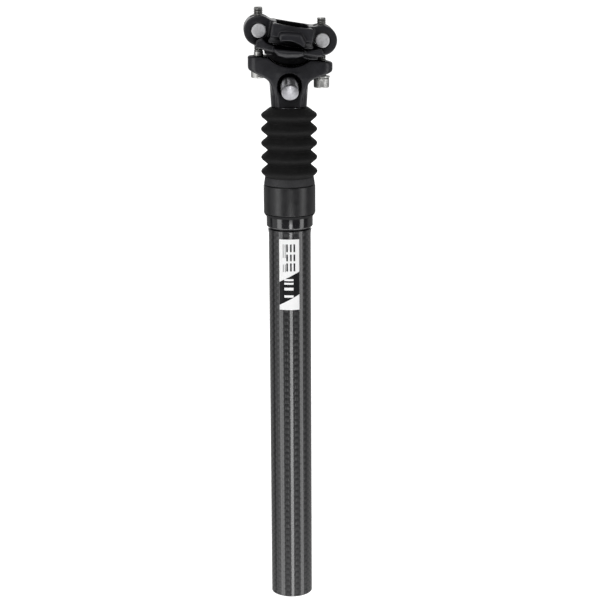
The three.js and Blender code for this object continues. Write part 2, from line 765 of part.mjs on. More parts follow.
const baseInsert = () => ring(PLUG_RADIUS + GAP, POST_BORE - GAP, INSERT_FOOT, INSERT_TOP);
const elastomerBumper = () => ring(SEAT_PIN_RADIUS + 0.4, BUMPER_RADIUS, SPRING_FOOT, BUMPER_TOP, 24);

// ---------------------------------------------------------------- assembly

const seatpost = new THREE.Group();
const nutRise = EYE_OFFSET * Math.sin(CLAMP_TILT);

seatpost.add(
  piece('post_tube', postTube(), 'carbon'),
  piece('post_ferrule', postFerrule(), 'glossBlack'),
  piece('top_collar', topCollar(), 'satinBlack'),
  piece('boot', boot(), 'rubber'),
  piece('upper_bushing', upperBushing(), 'acetal'),
  piece('wiper_seal', wiperSeal(), 'rubber'),
  piece('base_insert', baseInsert(), 'shaftAlloy'),
  piece('main_spring', mainSpring(), 'springSteel'),
  piece('inner_shaft', innerShaft(), 'shaftAlloy'),
  piece('shaft_circlip', shaftCirclip(), 'springSteel'),
  piece('lower_guide_ring', lowerGuideRing(), 'acetal'),
  piece('top_out_ring', topOutRing(), 'rubber'),
  piece('upper_spring_seat', upperSpringSeat(), 'acetal'),
  piece('head_yoke', headYoke(), 'forgedBlack'),
  piece('head_lock_screw', lockPlug(LOCK_RADIUS, LOCK_LENGTH), 'zincSteel'),
  piece('rear_washer', boltWasher(REAR_BOLT), 'zincSteel'),
  piece('front_washer', boltWasher(FRONT_BOLT), 'zincSteel'),
  piece('rear_clamp_bolt', clampBolt(REAR_BOLT), 'zincSteel'),
  piece('front_clamp_bolt', clampBolt(FRONT_BOLT), 'zincSteel'),
  piece('rear_barrel_nut', barrelNut(REAR_BOLT, PIVOT_Z + nutRise), 'zincSteel'),
  piece('front_barrel_nut', barrelNut(FRONT_BOLT, PIVOT_Z - nutRise), 'zincSteel'),
  piece('lower_spring_seat', lowerSpringSeat(), 'acetal'),
  piece('elastomer_bumper', elastomerBumper(), 'elastomer'),
  piece('thrust_washer', thrustWasher(), 'zincSteel'),
  piece('preload_plug', preloadPlug(), 'shaftAlloy'),
  clampGroup(),
);

for (const index of keyNumbers()) {
  const key = keyBlock(KEY_WIDTH, KEY_INNER, KEY_OUTER, KEY_FOOT, KEY_TOP, index);
  seatpost.add(piece(`guide_key_${index + 1}`, key, 'brass'));
}

export default seatpost;
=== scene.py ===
# The suspension seatpost's visible pieces, with its camera and lights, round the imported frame.
# Shapes are worked out in millimetres in the row frame, and placed in metres.

import json
import math

import bmesh
import bpy
import numpy as np
import openvdb
from mathutils import Matrix, Quaternion, Vector


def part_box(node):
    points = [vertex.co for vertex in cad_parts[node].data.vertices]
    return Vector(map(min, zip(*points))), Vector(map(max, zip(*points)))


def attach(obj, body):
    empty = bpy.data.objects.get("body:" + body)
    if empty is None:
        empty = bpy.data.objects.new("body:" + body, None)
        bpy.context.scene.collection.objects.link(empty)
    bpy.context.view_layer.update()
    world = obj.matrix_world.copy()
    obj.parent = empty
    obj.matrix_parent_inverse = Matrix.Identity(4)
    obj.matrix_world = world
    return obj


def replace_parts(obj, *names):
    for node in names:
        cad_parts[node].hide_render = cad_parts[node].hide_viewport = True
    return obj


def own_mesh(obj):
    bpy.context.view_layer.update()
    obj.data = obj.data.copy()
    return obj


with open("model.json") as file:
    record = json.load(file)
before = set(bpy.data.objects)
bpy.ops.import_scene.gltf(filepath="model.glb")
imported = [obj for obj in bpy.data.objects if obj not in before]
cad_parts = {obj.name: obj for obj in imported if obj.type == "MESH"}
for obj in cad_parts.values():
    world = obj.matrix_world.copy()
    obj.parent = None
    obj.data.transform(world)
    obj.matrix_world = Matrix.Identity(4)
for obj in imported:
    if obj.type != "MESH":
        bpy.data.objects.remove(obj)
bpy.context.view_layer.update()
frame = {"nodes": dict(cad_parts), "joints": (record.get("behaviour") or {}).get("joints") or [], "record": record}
MM = 0.001

# ---------------------------------------------------------------- places and sizes taken from the frame


def span(node):
    low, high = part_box(node)
    return low / MM, high / MM


def centre(node):
    low, high = span(node)
    return (low + high) / 2


JOINTS = {joint["name"]: joint for joint in frame["joints"]}
PIVOT = Vector(JOINTS["saddle_tilt"]["pos_m"]) / MM
REAR_NUT = centre("rear_barrel_nut")
FRONT_NUT = centre("front_barrel_nut")
TILT = math.atan2(REAR_NUT.z - FRONT_NUT.z, FRONT_NUT.x - REAR_NUT.x)
EYE_OFFSET = (FRONT_NUT - REAR_NUT).length / 2
CLAMP_PLACE = Matrix.Translation(PIVOT) @ Matrix.Rotation(TILT, 4, "Y")

POST_FLARE = 0.5
POST_RADIUS = span("post_tube")[1].x - POST_FLARE
POST_TOP = span("post_tube")[1].z
POST_BORE = POST_RADIUS - 1.6
FERRULE_LOW, FERRULE_HIGH = span("post_ferrule")
COLLAR_LOW, COLLAR_HIGH = span("top_collar")
BOOT_LOW, BOOT_HIGH = span("boot")
YOKE_LOW, YOKE_HIGH = span("head_yoke")
GAP = 0.3

# ---------------------------------------------------------------- outlines


def eased(corners):
    """Points round a closed outline of (a, b, radius) corners, with each corner turned into an arc."""
    points = []
    count = len(corners)
    for i, (a, b, radius) in enumerate(corners):
        here = Vector((a, b))
        back = Vector(corners[i - 1][:2]) - here
        ahead = Vector(corners[(i + 1) % count][:2]) - here
        turn = back.angle(ahead, math.pi)
        if radius <= 0 or turn > math.pi - 1e-3:
            points.append(here)
            continue
        reach = min(radius / math.tan(turn / 2), 0.49 * back.length, 0.49 * ahead.length)
        start = here + back.normalized() * reach
        end = here + ahead.normalized() * reach
        steps = max(2, round(math.degrees(math.pi - turn) / 12))
        for k in range(steps + 1):
            t = k / steps
            points.append(start * (1 - t) ** 2 + here * 2 * t * (1 - t) + end * t**2)
    return points


def mesh_object(name, vertices, faces, place=None):
    """A new object from points in millimetres, moved by place, in metres in the row frame."""
    mesh = bpy.data.meshes.new(name)
    mesh.from_pydata([tuple(v) for v in vertices], [], faces)
    if place is not None:
        mesh.transform(place)
    mesh.transform(Matrix.Scale(MM, 4))
    mesh.validate()
    face_outwards(mesh)
    made = bpy.data.objects.new(name, mesh)
    bpy.context.scene.collection.objects.link(made)
    return made


def face_outwards(mesh):
    work = bmesh.new()
    work.from_mesh(mesh)
    if work.calc_volume(signed=True) < 0:
        bmesh.ops.reverse_faces(work, faces=work.faces)
    work.to_mesh(mesh)
    work.free()


def soften(made, angle=35):
    """Smooth shading, with edges sharper than angle kept crisp."""
    made.data.shade_smooth()
    made.data.set_sharp_from_angle(angle=math.radians(angle))
    return made


# ---------------------------------------------------------------- turned pieces


def spun(name, stations, around=96, closed=False, place=None):
    """A body of revolution about Z, through (radius, z) stations.

    A radius may be a function of the angle.
    """
    angles = np.linspace(0, 2 * math.pi, around, endpoint=False)
    vertices, rows = [], []
    for radius, z in stations:
        if not callable(radius) and radius == 0:
            rows.append([len(vertices)])
            vertices.append((0, 0, z))
            continue
        radii = radius(angles) if callable(radius) else np.full(around, radius)
        rows.append(list(range(len(vertices), len(vertices) + around)))
        vertices.extend(zip(radii * np.cos(angles), radii * np.sin(angles), np.full(around, z)))
    pairs = list(zip(rows, rows[1:]))
    if closed:
        pairs.append((rows[-1], rows[0]))
    faces = []
    for low, high in pairs:
        for i in range(around):
            j = (i + 1) % around
            if len(low) == 1:
                faces.append((low[0], high[j], high[i]))
            elif len(high) == 1:
                faces.append((low[i], low[j], high[0]))
            else:
                faces.append((low[i], low[j], high[j], high[i]))
    return soften(mesh_object(name, vertices, faces, place))


def turned_ring(name, corners, around=96, place=None):
    return spun(name, eased(corners), around, closed=True, place=place)


def hexagon(across_flats):
    def radius(angles):
        return across_flats / 2 / np.cos((angles + math.pi / 6) % (math.pi / 3) - math.pi / 6)

    return radius


def knurl(radius, depth, ridges):
    def wave(angles):
        return radius - depth * (0.5 + 0.5 * np.cos(ridges * angles))

    return wave


def thread(major, pitch, low, high, handed=1):
    """Stations of a cut thread between two heights, with a lead-in at the upper end."""
    depth = 0.6 * pitch
    stations = []
    for z in np.arange(low, high, pitch / 6):
        fade = min(1.0, (z - low) / pitch)
        limit = major - max(0.0, z - (high - pitch)) * 0.5

        def radius(angles, z=z, fade=fade, limit=limit):
            phase = (z / pitch - handed * angles / (2 * math.pi)) % 1.0
            flank = np.clip(2.6 * np.abs(phase - 0.5) - 0.15, 0, 1)
            return np.minimum(major - depth * fade * flank, limit)

        stations.append((radius, z))
    return stations


# ---------------------------------------------------------------- forged pieces, as distance fields


def smooth_min(a, b, k):
    h = np.clip(0.5 + 0.5 * (b - a) / k, 0, 1)
    return b * (1 - h) + a * h - k * h * (1 - h)


def smooth_max(a, b, k):
    return -smooth_min(-a, -b, k)


def without(body, tool, k=0.5):
    return smooth_max(body, -tool, k)


def slab(v, low, high):
    return np.maximum(low - v, v - high)


def disc(a, b, centre_a, centre_b, radius):
    return np.hypot(a - centre_a, b - centre_b) - radius


def block(a, b, c, low, high, rounding):
    """A box with rounded edges."""
    half = [(h - l) / 2 - rounding for l, h in zip(low, high)]
    mid = [(h + l) / 2 for l, h in zip(low, high)]
    q = [np.abs(v - m) - s for v, m, s in zip((a, b, c), mid, half)]
    outside = np.sqrt(sum(np.maximum(v, 0) ** 2 for v in q))
    inside = np.minimum(np.maximum(np.maximum(q[0], q[1]), q[2]), 0)
    return outside + inside - rounding


def outline(a, b, corners):
    """Distance to a closed outline with eased corners."""
    points = eased(corners)
    best = np.inf
    inside = False
    for p, q in zip(points, points[1:] + points[:1]):
        edge = q - p
        if edge.length < 1e-9:
            continue
        t = np.clip(((a - p.x) * edge.x + (b - p.y) * edge.y) / edge.length_squared, 0, 1)
        best = np.minimum(best, np.hypot(a - p.x - t * edge.x, b - p.y - t * edge.y))
        crosses = (p.y > b) != (q.y > b)
        if abs(edge.y) > 1e-12:
            crosses = crosses & (a < p.x + (b - p.y) * edge.x / edge.y)
        inside = inside ^ crosses
    return np.where(inside, -best, best)


def tapered(x, y, x0, r0, x1, r1):
    """Distance to the outline round two circles on the x axis."""
    length = x1 - x0
    lean = (r0 - r1) / length
    along = math.sqrt(1 - lean * lean)
    side = np.abs(y)
    run = x - x0
    k = run * along - side * lean
    body = side * along + run * lean - r0
    tail = np.hypot(side, run) - r0
    nose = np.hypot(side, run - length) - r1
    return np.where(k < 0, tail, np.where(k > along * length, nose, body))


def forged(name, field, low, high, step=0.4, place=None):
    """The surface where field(x, y, z) is zero, inside the box from low to high."""
    axes = [np.arange(l - 2 * step, h + 2 * step, step) for l, h in zip(low, high)]
    values = field(*np.meshgrid(*axes, indexing="ij", sparse=True))
    grid = openvdb.FloatGrid(float(values.max()))
    grid.copyFromArray(values.astype(np.float32))
    points, quads = grid.convertToQuads()
    corner = np.array([axis[0] for axis in axes])
    made = mesh_object(name, points * step + corner, [tuple(int(i) for i in q) for q in quads], place)
    made.data.shade_smooth()
    return made


# ---------------------------------------------------------------- materials


class Finish:
    """A procedural material, built up node by node. Lengths are in millimetres."""

    def __init__(self, name, color, roughness, **sockets):
        self.material = bpy.data.materials.new(name)
        self.material.use_nodes = True
        self.tree = self.material.node_tree
        self.shader = self.tree.nodes["Principled BSDF"]
        self.set("Base Color", (*color, 1))
        self.set("Roughness", roughness)
        for socket, value in sockets.items():
            self.set(socket.replace("_", " "), value)
        place = self.tree.nodes.new("ShaderNodeTexCoord")
        self.position = self.vector("SCALE", place.outputs["Object"], scale=1 / MM)

    def set(self, socket, value):
        self.feed(self.shader.inputs[socket], value)

    def feed(self, socket, value):
        if isinstance(value, bpy.types.NodeSocket):
            self.tree.links.new(value, socket)
        else:
            socket.default_value = value

    def vector(self, operation, first, second=None, scale=None):
        node = self.tree.nodes.new("ShaderNodeVectorMath")
        node.operation = operation
        self.feed(node.inputs[0], first)
        if second is not None:
            self.feed(node.inputs[1], second)
        if scale is not None:
            self.feed(node.inputs["Scale"], scale)
        return node.outputs["Vector"]

    def math(self, operation, first, second=None):
        node = self.tree.nodes.new("ShaderNodeMath")
        node.operation = operation
        self.feed(node.inputs[0], first)
        if second is not None:
            self.feed(node.inputs[1], second)
        return node.outputs["Value"]

    def axes(self):
        node = self.tree.nodes.new("ShaderNodeSeparateXYZ")
        self.feed(node.inputs[0], self.position)
        return node.outputs["X"], node.outputs["Y"], node.outputs["Z"]

    def noise(self, size, detail=2.0, stretch=(1, 1, 1)):
        """Cloud noise with features of about size millimetres, longer along the stretched axes."""
        node = self.tree.nodes.new("ShaderNodeTexNoise")
        self.feed(node.inputs["Vector"], self.vector("DIVIDE", self.position, stretch))
        node.inputs["Scale"].default_value = 1 / size
        node.inputs["Detail"].default_value = detail
        return node.outputs["Fac"]

    def openness(self, reach):
        """Ambient occlusion, used as a painted shade mask: 1 on a free face, towards 0 where surfaces close in
        within reach millimetres.
        """
        node = self.tree.nodes.new("ShaderNodeAmbientOcclusion")
        node.samples = 8
        node.inputs["Distance"].default_value = reach * MM
        return node.outputs["AO"]

    def spread(self, value, low, high, from_low=0.3, from_high=0.7):
        node = self.tree.nodes.new("ShaderNodeMapRange")
        self.feed(node.inputs["Value"], value)
        for name, number in zip(
            ("From Min", "From Max", "To Min", "To Max"), (from_low, from_high, low, high)
        ):
            node.inputs[name].default_value = number
        return node.outputs["Result"]

    def mix(self, factor, first, second):
        node = self.tree.nodes.new("ShaderNodeMix")
        node.data_type = "RGBA"
        self.feed(node.inputs[0], factor)
        for socket, value in zip((node.inputs[6], node.inputs[7]), (first, second)):
            self.feed(socket, (*value, 1) if isinstance(value, tuple) else value)
        return node.outputs[2]

    def bump(self, height, depth, socket="Normal", strength=1.0):
        """Relief of depth millimetres at full height."""
        node = self.tree.nodes.new("ShaderNodeBump")
        node.inputs["Strength"].default_value = strength
        node.inputs["Distance"].default_value = depth * MM
        self.feed(node.inputs["Height"], height)
        if self.shader.inputs[socket].is_linked:
            self.feed(node.inputs["Normal"], self.shader.inputs[socket].links[0].from_socket)
        self.set(socket, node.outputs["Normal"])


CARBON_TOWS = 40
CARBON_CELL_HEIGHT = 0.957


def carbon_weave():
    """Plain weave of dark tows under a clear coat. A cell is CARBON_CELL_HEIGHT times as high as wide."""
    tow = 2 * math.pi * POST_RADIUS / CARBON_TOWS
    finish = Finish("carbon_weave", (0.01, 0.01, 0.01), 0.34, Coat_Weight=1.0, Coat_Roughness=0.04)
    x, y, z = finish.axes()
    around = finish.math("MULTIPLY", finish.math("ARCTAN2", y, x), POST_RADIUS / tow)
    along = finish.math("DIVIDE", z, CARBON_CELL_HEIGHT * tow)
    step = finish.math("ADD", finish.math("FLOOR", around), finish.math("FLOOR", along))
    warp_up = finish.math("LESS_THAN", finish.math("FLOORED_MODULO", step, 2.0), 0.5)
    warp_crown = finish.math("SINE", finish.math("MULTIPLY", finish.math("FRACT", around), math.pi))
    weft_crown = finish.math("SINE", finish.math("MULTIPLY", finish.math("FRACT", along), math.pi))
    crown = finish.tree.nodes.new("ShaderNodeMix")
    finish.feed(crown.inputs[0], warp_up)
    finish.feed(crown.inputs[2], weft_crown)
    finish.feed(crown.inputs[3], warp_crown)
    relief = crown.outputs[0]
    fibres = finish.noise(0.35, 1.0, stretch=(1, 1, 12))
    # Painted light: each tow's crown is painted lighter, a painted highlight, and the warp tows are painted
    # lighter than the weft, a painted sheen; the fibre noise is the weave's own tone.
    shade = finish.math("ADD", finish.math("MULTIPLY", relief, 0.6), finish.math("MULTIPLY", fibres, 0.5))
    shaded_weft_colour = finish.mix(shade, (0.001, 0.001, 0.001), (0.007, 0.007, 0.008))
    lit_warp_colour = finish.mix(shade, (0.004, 0.004, 0.005), (0.027, 0.027, 0.029))
    finish.set("Base Color", finish.mix(warp_up, shaded_weft_colour, lit_warp_colour))
    finish.bump(relief, 0.10)
    return finish.material


def anodised(name, color, roughness, grain, depth, lathe_lines=0.0, sheen=0.5, painted_shade_reach=0.0):
    """Black anodised alloy: a faint mottled tone, a fine peened or turned grain, and a soft sheen.

    Spots shut in by nearby surfaces get painted shade: an ambient occlusion mask darkens their
    colour and lowers their specular, standing in for the shade that falls there.
    """
    finish = Finish(name, color, roughness, Specular_IOR_Level=sheen)
    tone = finish.noise(6.0, 3.0)
    lifted = tuple(1.5 * c + 0.002 for c in color)
    shade = finish.mix(finish.spread(tone, 0, 1), color, lifted)
    # Painted shade: where the occlusion mask is low, the colour goes towards near black and the specular drops.
    if painted_shade_reach:
        painted_shade_mask = finish.spread(finish.openness(painted_shade_reach), 0.03, 1.0, 0.5, 0.96)
        shade = finish.mix(painted_shade_mask, (0.0008, 0.0008, 0.0009), shade)
        finish.set("Specular IOR Level", finish.math("MULTIPLY", painted_shade_mask, sheen))
    finish.set("Base Color", shade)
    finish.set("Roughness", finish.spread(finish.noise(2.5, 4.0), roughness - 0.06, roughness + 0.06))
    finish.bump(finish.noise(grain, 3.0), depth)
    if lathe_lines:
        finish.bump(finish.noise(0.12, 1.0, stretch=(60, 60, 1)), lathe_lines)
    return finish.material


def rubber(name, color, roughness, sheen):
    finish = Finish(name, color, roughness, Specular_IOR_Level=sheen)
    dust = finish.spread(finish.noise(3.5, 5.0), 0, 1, 0.45, 0.8)
    finish.set("Base Color", finish.mix(dust, color, tuple(1.6 * c for c in color)))
    finish.set("Roughness", finish.spread(finish.noise(1.2, 4.0), roughness - 0.08, roughness + 0.08))
    finish.bump(finish.noise(0.25, 3.0), 0.03)
    return finish.material


def plated_steel(name, color, roughness, metallic=1.0, painted_shade_reach=0.0):
    finish = Finish(name, color, roughness, Metallic=metallic)
    dulled = tuple(0.72 * c for c in color)
    shade = finish.mix(finish.spread(finish.noise(1.6, 5.0), 0, 1), color, dulled)
    # Painted shade: where the occlusion mask is low, the colour is mixed down to a tenth of itself.
    if painted_shade_reach:
        painted_shade_mask = finish.spread(finish.openness(painted_shade_reach), 0, 1, 0.6, 0.98)
        shade = finish.mix(painted_shade_mask, tuple(0.1 * c for c in color), shade)
    finish.set("Base Color", shade)
    finish.set("Roughness", finish.spread(finish.noise(0.8, 4.0), roughness - 0.08, roughness + 0.1))
    finish.bump(finish.noise(0.3, 3.0), 0.01)
    return finish.material


def moulded(name, color, roughness, grain=0.4):
    finish = Finish(name, color, roughness)
    worn = tuple(0.8 * c for c in color)
    finish.set("Base Color", finish.mix(finish.spread(finish.noise(3.0, 4.0), 0, 1), color, worn))
    finish.bump(finish.noise(grain, 3.0), 0.02)
    return finish.material


def printed_film(name, color):
    finish = Finish(name, color, 0.45, Specular_IOR_Level=0.2)
    faded = tuple(0.97 * c for c in color)
    finish.set("Base Color", finish.mix(finish.noise(2.0, 3.0), color, faded))
    finish.bump(finish.noise(0.3, 2.0), 0.004)
    return finish.material


# The surfaces that some black finishes share, in millimetres.
TURNED = {"grain": 0.25, "depth": 0.010, "lathe_lines": 0.004}
# FORGED includes the reach of the painted shade that darkens the forged parts where they are shut in.
FORGED = {"grain": 0.35, "depth": 0.030, "painted_shade_reach": 16.0}
FINISHES = {
    "carbon": carbon_weave(),
    "gloss_black": anodised(
        "gloss_anodised", (0.008, 0.008, 0.009), 0.14, grain=0.5, depth=0.004, sheen=0.9
    ),
    "satin_black": anodised("satin_anodised", (0.012, 0.012, 0.013), 0.34, **TURNED),
    # Painted shade: a darker, less specular copy of the turned black, so the chamfer does not show the light band
    # it would reflect.
    "shaded_chamfer_black": anodised("shaded_chamfer_anodised", (0.009, 0.009, 0.010), 0.5, sheen=0.12, **TURNED),
    "forged_black": anodised("forged_anodised", (0.015, 0.015, 0.018), 0.36, sheen=0.45, **FORGED),
    "boot_rubber": rubber("boot_rubber", (0.0075, 0.0075, 0.0075), 0.72, sheen=0.2),
    "cuff_rubber": rubber("cuff_rubber", (0.024, 0.024, 0.026), 0.6, sheen=0.4),
    # zinc_steel and zinc_plug paint shade into their crevices; the plug's reach darkens it inside its pocket.
    "zinc_steel": plated_steel("zinc_plate", (0.72, 0.72, 0.70), 0.38, metallic=0.8, painted_shade_reach=0.7),
    "zinc_dowel": plated_steel("zinc_dowel", (0.76, 0.76, 0.78), 0.5, metallic=0.3),
    "zinc_plug": plated_steel("zinc_plug", (0.42, 0.42, 0.44), 0.36, painted_shade_reach=16.0),
    "shaft_alloy": plated_steel("ground_alloy", (0.60, 0.61, 0.63), 0.24),
    "spring_steel": plated_steel("oiled_spring_steel", (0.20, 0.21, 0.23), 0.38),
    "acetal": moulded("acetal", (0.76, 0.74, 0.68), 0.42),
    "brass": plated_steel("machined_brass", (0.66, 0.45, 0.16), 0.30),
    "elastomer": moulded("cast_urethane", (0.40, 0.22, 0.05), 0.55),
    "label_white": printed_film("label_white", (0.99, 0.99, 0.99)),
    "label_black": printed_film("label_black", (0.005, 0.005, 0.006)),
}
SLOT_OF = {part["node"]: part["material_slot"] for part in frame["record"]["subparts"]}


def dress(made, node, body, finish=None):
    """Gives a piece a finish, by default the one for its CAD node's slot, and makes it ride on its body."""
    slot_name = SLOT_OF[node]
    made.data.materials.clear()
    made.data.materials.append(FINISHES[finish or slot_name])
    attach(made, body)
    return made


def stand_in(made, node, body, finish=None):
    """Dresses a piece that is shown instead of its CAD node."""
    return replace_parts(dress(made, node, body, finish), node)


# ---------------------------------------------------------------- post, ferrule and collar


def carbon_tube():
    flare = POST_TOP - 3.3
    corners = [
        (POST_BORE, 0, 0.3),
        (POST_RADIUS, 0, 0.35),
        (POST_RADIUS, flare, 6.0),
        (POST_RADIUS + POST_FLARE, POST_TOP - 0.4, 0.5),
        (POST_RADIUS - 0.4, POST_TOP, 0.3),
        (POST_BORE, POST_TOP, 0.2),
    ]
    stand_in(turned_ring("carbon_tube", corners, 192), "post_tube", "post")


def ferrule():
    radius = 14.9
    shoulder = COLLAR_LOW.z - GAP
    spigot = POST_BORE - GAP
    bore = 10.8
    pocket = 12.7
    pocket_floor = 261.0
    flare = shoulder - 2.0
    thread_radius = 14.0
    corners = [
        (bore, FERRULE_LOW.z, 0.2),
        (spigot, FERRULE_LOW.z, 0.3),
        (spigot, POST_TOP + GAP, 0),
        (POST_RADIUS - 0.6, POST_TOP + GAP, 0.1),
        (POST_RADIUS + 0.3, POST_TOP + 0.6, 0.3),
        (radius, POST_TOP + 1.7, 0.9),
        (radius, flare, 0),
        (thread_radius, flare, 0),
        (thread_radius, FERRULE_HIGH.z, 0.3),
        (pocket, FERRULE_HIGH.z, 0.2),
        (pocket, pocket_floor, 0),
        (bore, pocket_floor, 0),
    ]
    stand_in(turned_ring("ferrule_ring", corners, 160), "post_ferrule", "post")
    chamfer = [
        (thread_radius, flare, 0),
        (radius, flare, 0.1),
        (FERRULE_HIGH.x, shoulder - 0.2, 0.2),
        (FERRULE_HIGH.x - 0.3, shoulder, 0.1),
        (thread_radius, shoulder, 0),
    ]
    # The chamfer wears the darker, duller copy of the black, as painted shade.
    dress(turned_ring("ferrule_chamfer", chamfer, 160), "post_ferrule", "post", "shaded_chamfer_black")


def collar():
    radius = COLLAR_HIGH.x
    rim = BOOT_LOW.z - GAP
    spigot = 14.2
    lip = 11.3
    pocket = 12.9
    shelf = FERRULE_HIGH.z + 0.6
    bore = 14.3
    corners = [
        (bore, COLLAR_LOW.z, 0.1),
        (radius, COLLAR_LOW.z, 0.4),
        (radius, rim, 0.7),
        (spigot, rim, 0.2),
        (spigot, COLLAR_HIGH.z, 0.3),
        (lip, COLLAR_HIGH.z, 0.3),
        (lip, rim, 0),
        (pocket, rim, 0),
        (pocket, shelf, 0),
        (bore, shelf, 0),
    ]
    stand_in(turned_ring("collar_cap", corners, 160), "top_collar", "post")


# ---------------------------------------------------------------- boot

FOLDS = 5
FOLD_FIRST = BOOT_LOW.z + 8.3
FOLD_PITCH = 8.92
FOLD_TIP = BOOT_HIGH.x
FOLD_VALLEY = 13.7
BOOT_WALL = 1.3
CUFF_TOP = BOOT_LOW.z + 4.8


def boot_cuff():
    """The plain band at the boot's foot."""
    inner, foot, top, overlap = 14.5, 16.3, 15.5, 14.9
    rim = CUFF_TOP + 0.4
    corners = [
        (inner, BOOT_LOW.z, 0.2),
        (foot, BOOT_LOW.z, 0.6),
        (top, CUFF_TOP, 0.5),
        (overlap, rim, 0.1),
        (inner, rim, 0.1),
    ]
    return dress(turned_ring("boot_cuff", corners, 160), "boot", "post", "cuff_rubber")


def boot_outline():
    """The folds' outer and inner outlines, from the cuff to the collar that grips the shaft."""
    foot = CUFF_TOP
    foot_outer, foot_inner = 15.45, 14.8
    shaft_hole = 10.7
    outer = [(foot_outer, foot, 0.2), (foot_outer, foot + 0.35, 0.5)]
    inner = [(foot_inner, foot, 0), (foot_inner, foot + 0.6, 0.4)]
    for fold in range(FOLDS):
        tip = FOLD_FIRST + fold * FOLD_PITCH
        outer.append((FOLD_TIP + 0.55, tip, 2.0))
        inner.append((FOLD_TIP - BOOT_WALL + 0.3, tip, 1.0))
        if fold < FOLDS - 1:
            outer.append((FOLD_VALLEY - 0.25, tip + FOLD_PITCH / 2, 0.9))
            inner.append((FOLD_VALLEY - BOOT_WALL, tip + FOLD_PITCH / 2, 0.8))
    outer += [(12.4, BOOT_HIGH.z - 0.3, 0.6), (11.6, BOOT_HIGH.z, 0.3)]
    inner += [(shaft_hole, BOOT_HIGH.z - BOOT_WALL, 0.4), (shaft_hole, BOOT_HIGH.z, 0.2)]
    return outer + inner[::-1]


def boot_bellows():
    bellows = turned_ring("boot_bellows", boot_outline(), 160)
    dress(bellows, "boot", "post")
    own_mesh(bellows)
    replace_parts(bellows, "boot")


# ---------------------------------------------------------------- head

NECK_RADIUS = 11.9
NECK_FOOT_RADIUS = 10.2
NECK_TAPER = 0.061
NECK_TAPER_TOP = 338
NECK_SOCKET_RADIUS = 8.2
NECK_SOCKET_TOP = 345.3
NECK_TOP = 348
LOBE_DRAFT = 0.16
LOBE_DRAFT_TOP = 345
SADDLE_RADIUS = 19.3
ARCH_RADIUS = 7.4
ARCH_LEVEL = 341.2
ARCH_DEPTH = 9.3
RIB_OFFSET = 3.2
RIB_HALF_WIDTH = 0.7
RIB_ROOT = 8.0
RIB_TOP = 340
SCREW_HOLE_RADIUS = 3.4
REAR_POCKET = (5.6, 352.6)
FRONT_POCKET = (6.0, 346.1)

LOCK_LOW = span("head_lock_screw")[0]
LOCK_LEAN = math.radians(20)
LOCK_RADIUS = 5.4
LOCK_LENGTH = 18.0
LOCK_PITCH = 1.0
LOCK_POCKET_RADIUS = 7.0
LOCK_POCKET_DEPTH = 12.5
LOCK_FACE = Vector((
    0,
    LOCK_LOW.y + LOCK_RADIUS * math.sin(LOCK_LEAN),
    LOCK_LOW.z + LOCK_RADIUS * math.cos(LOCK_LEAN),
))
LOCK_PLACE = Matrix.Translation(LOCK_FACE) @ Matrix.Rotation(-math.pi / 2 + LOCK_LEAN, 4, "X")


def yoke_lobes(x, y, z):
    """The two arms that carry the screws, narrowing towards their ends."""
    rear, front = REAR_NUT.x, FRONT_NUT.x
    low_x, high_x = YOKE_LOW.x, YOKE_HIGH.x
    top = YOKE_HIGH.z
    plan = np.minimum(
        tapered(x, y, rear, rear - low_x, 0, NECK_RADIUS),
        tapered(x, y, 0, NECK_RADIUS, front, high_x - front),
    )
    side = outline(x, z, [
        (low_x, top, 1.0),
        (low_x, 350.4, 2.6),
        (-NECK_RADIUS, 343.6, 13.0),
        (-NECK_FOOT_RADIUS, 335, 0),
        (NECK_FOOT_RADIUS, 335, 0),
        (NECK_RADIUS, 343.0, 11.0),
        (high_x, 348.6, 2.6),
        (high_x, 354.2, 1.4),
        (6, top, 3.0),
    ])
    draft = LOBE_DRAFT * np.clip(LOBE_DRAFT_TOP - z, 0, 12)
    return smooth_max(plan + draft, side, 1.8)


def neck_ribs(x, y, z, around):
    """Four upright ribs beside the recesses, whose faces stand 60 degrees round from the X axis."""
    outwards = 0.5 * np.abs(x) + 0.866 * np.abs(y)
    sideways = 0.866 * np.abs(x) - 0.5 * np.abs(y)
    rib = smooth_max(np.abs(sideways - RIB_OFFSET) - RIB_HALF_WIDTH, outwards - around, 0.4)
    rib = smooth_max(rib, RIB_ROOT - outwards, 0.4)
    return smooth_max(rib, slab(z, YOKE_LOW.z, RIB_TOP), 1.0)


def arched_recess(x, y, z):
    """The recess in the neck's -Y and +Y faces, round at the top and open below."""
    legs = np.maximum(np.abs(x) - ARCH_RADIUS, z - ARCH_LEVEL)
    arch = np.minimum(disc(x, z, 0, ARCH_LEVEL, ARCH_RADIUS), legs)
    return smooth_max(arch, ARCH_DEPTH - np.abs(y), 0.4)


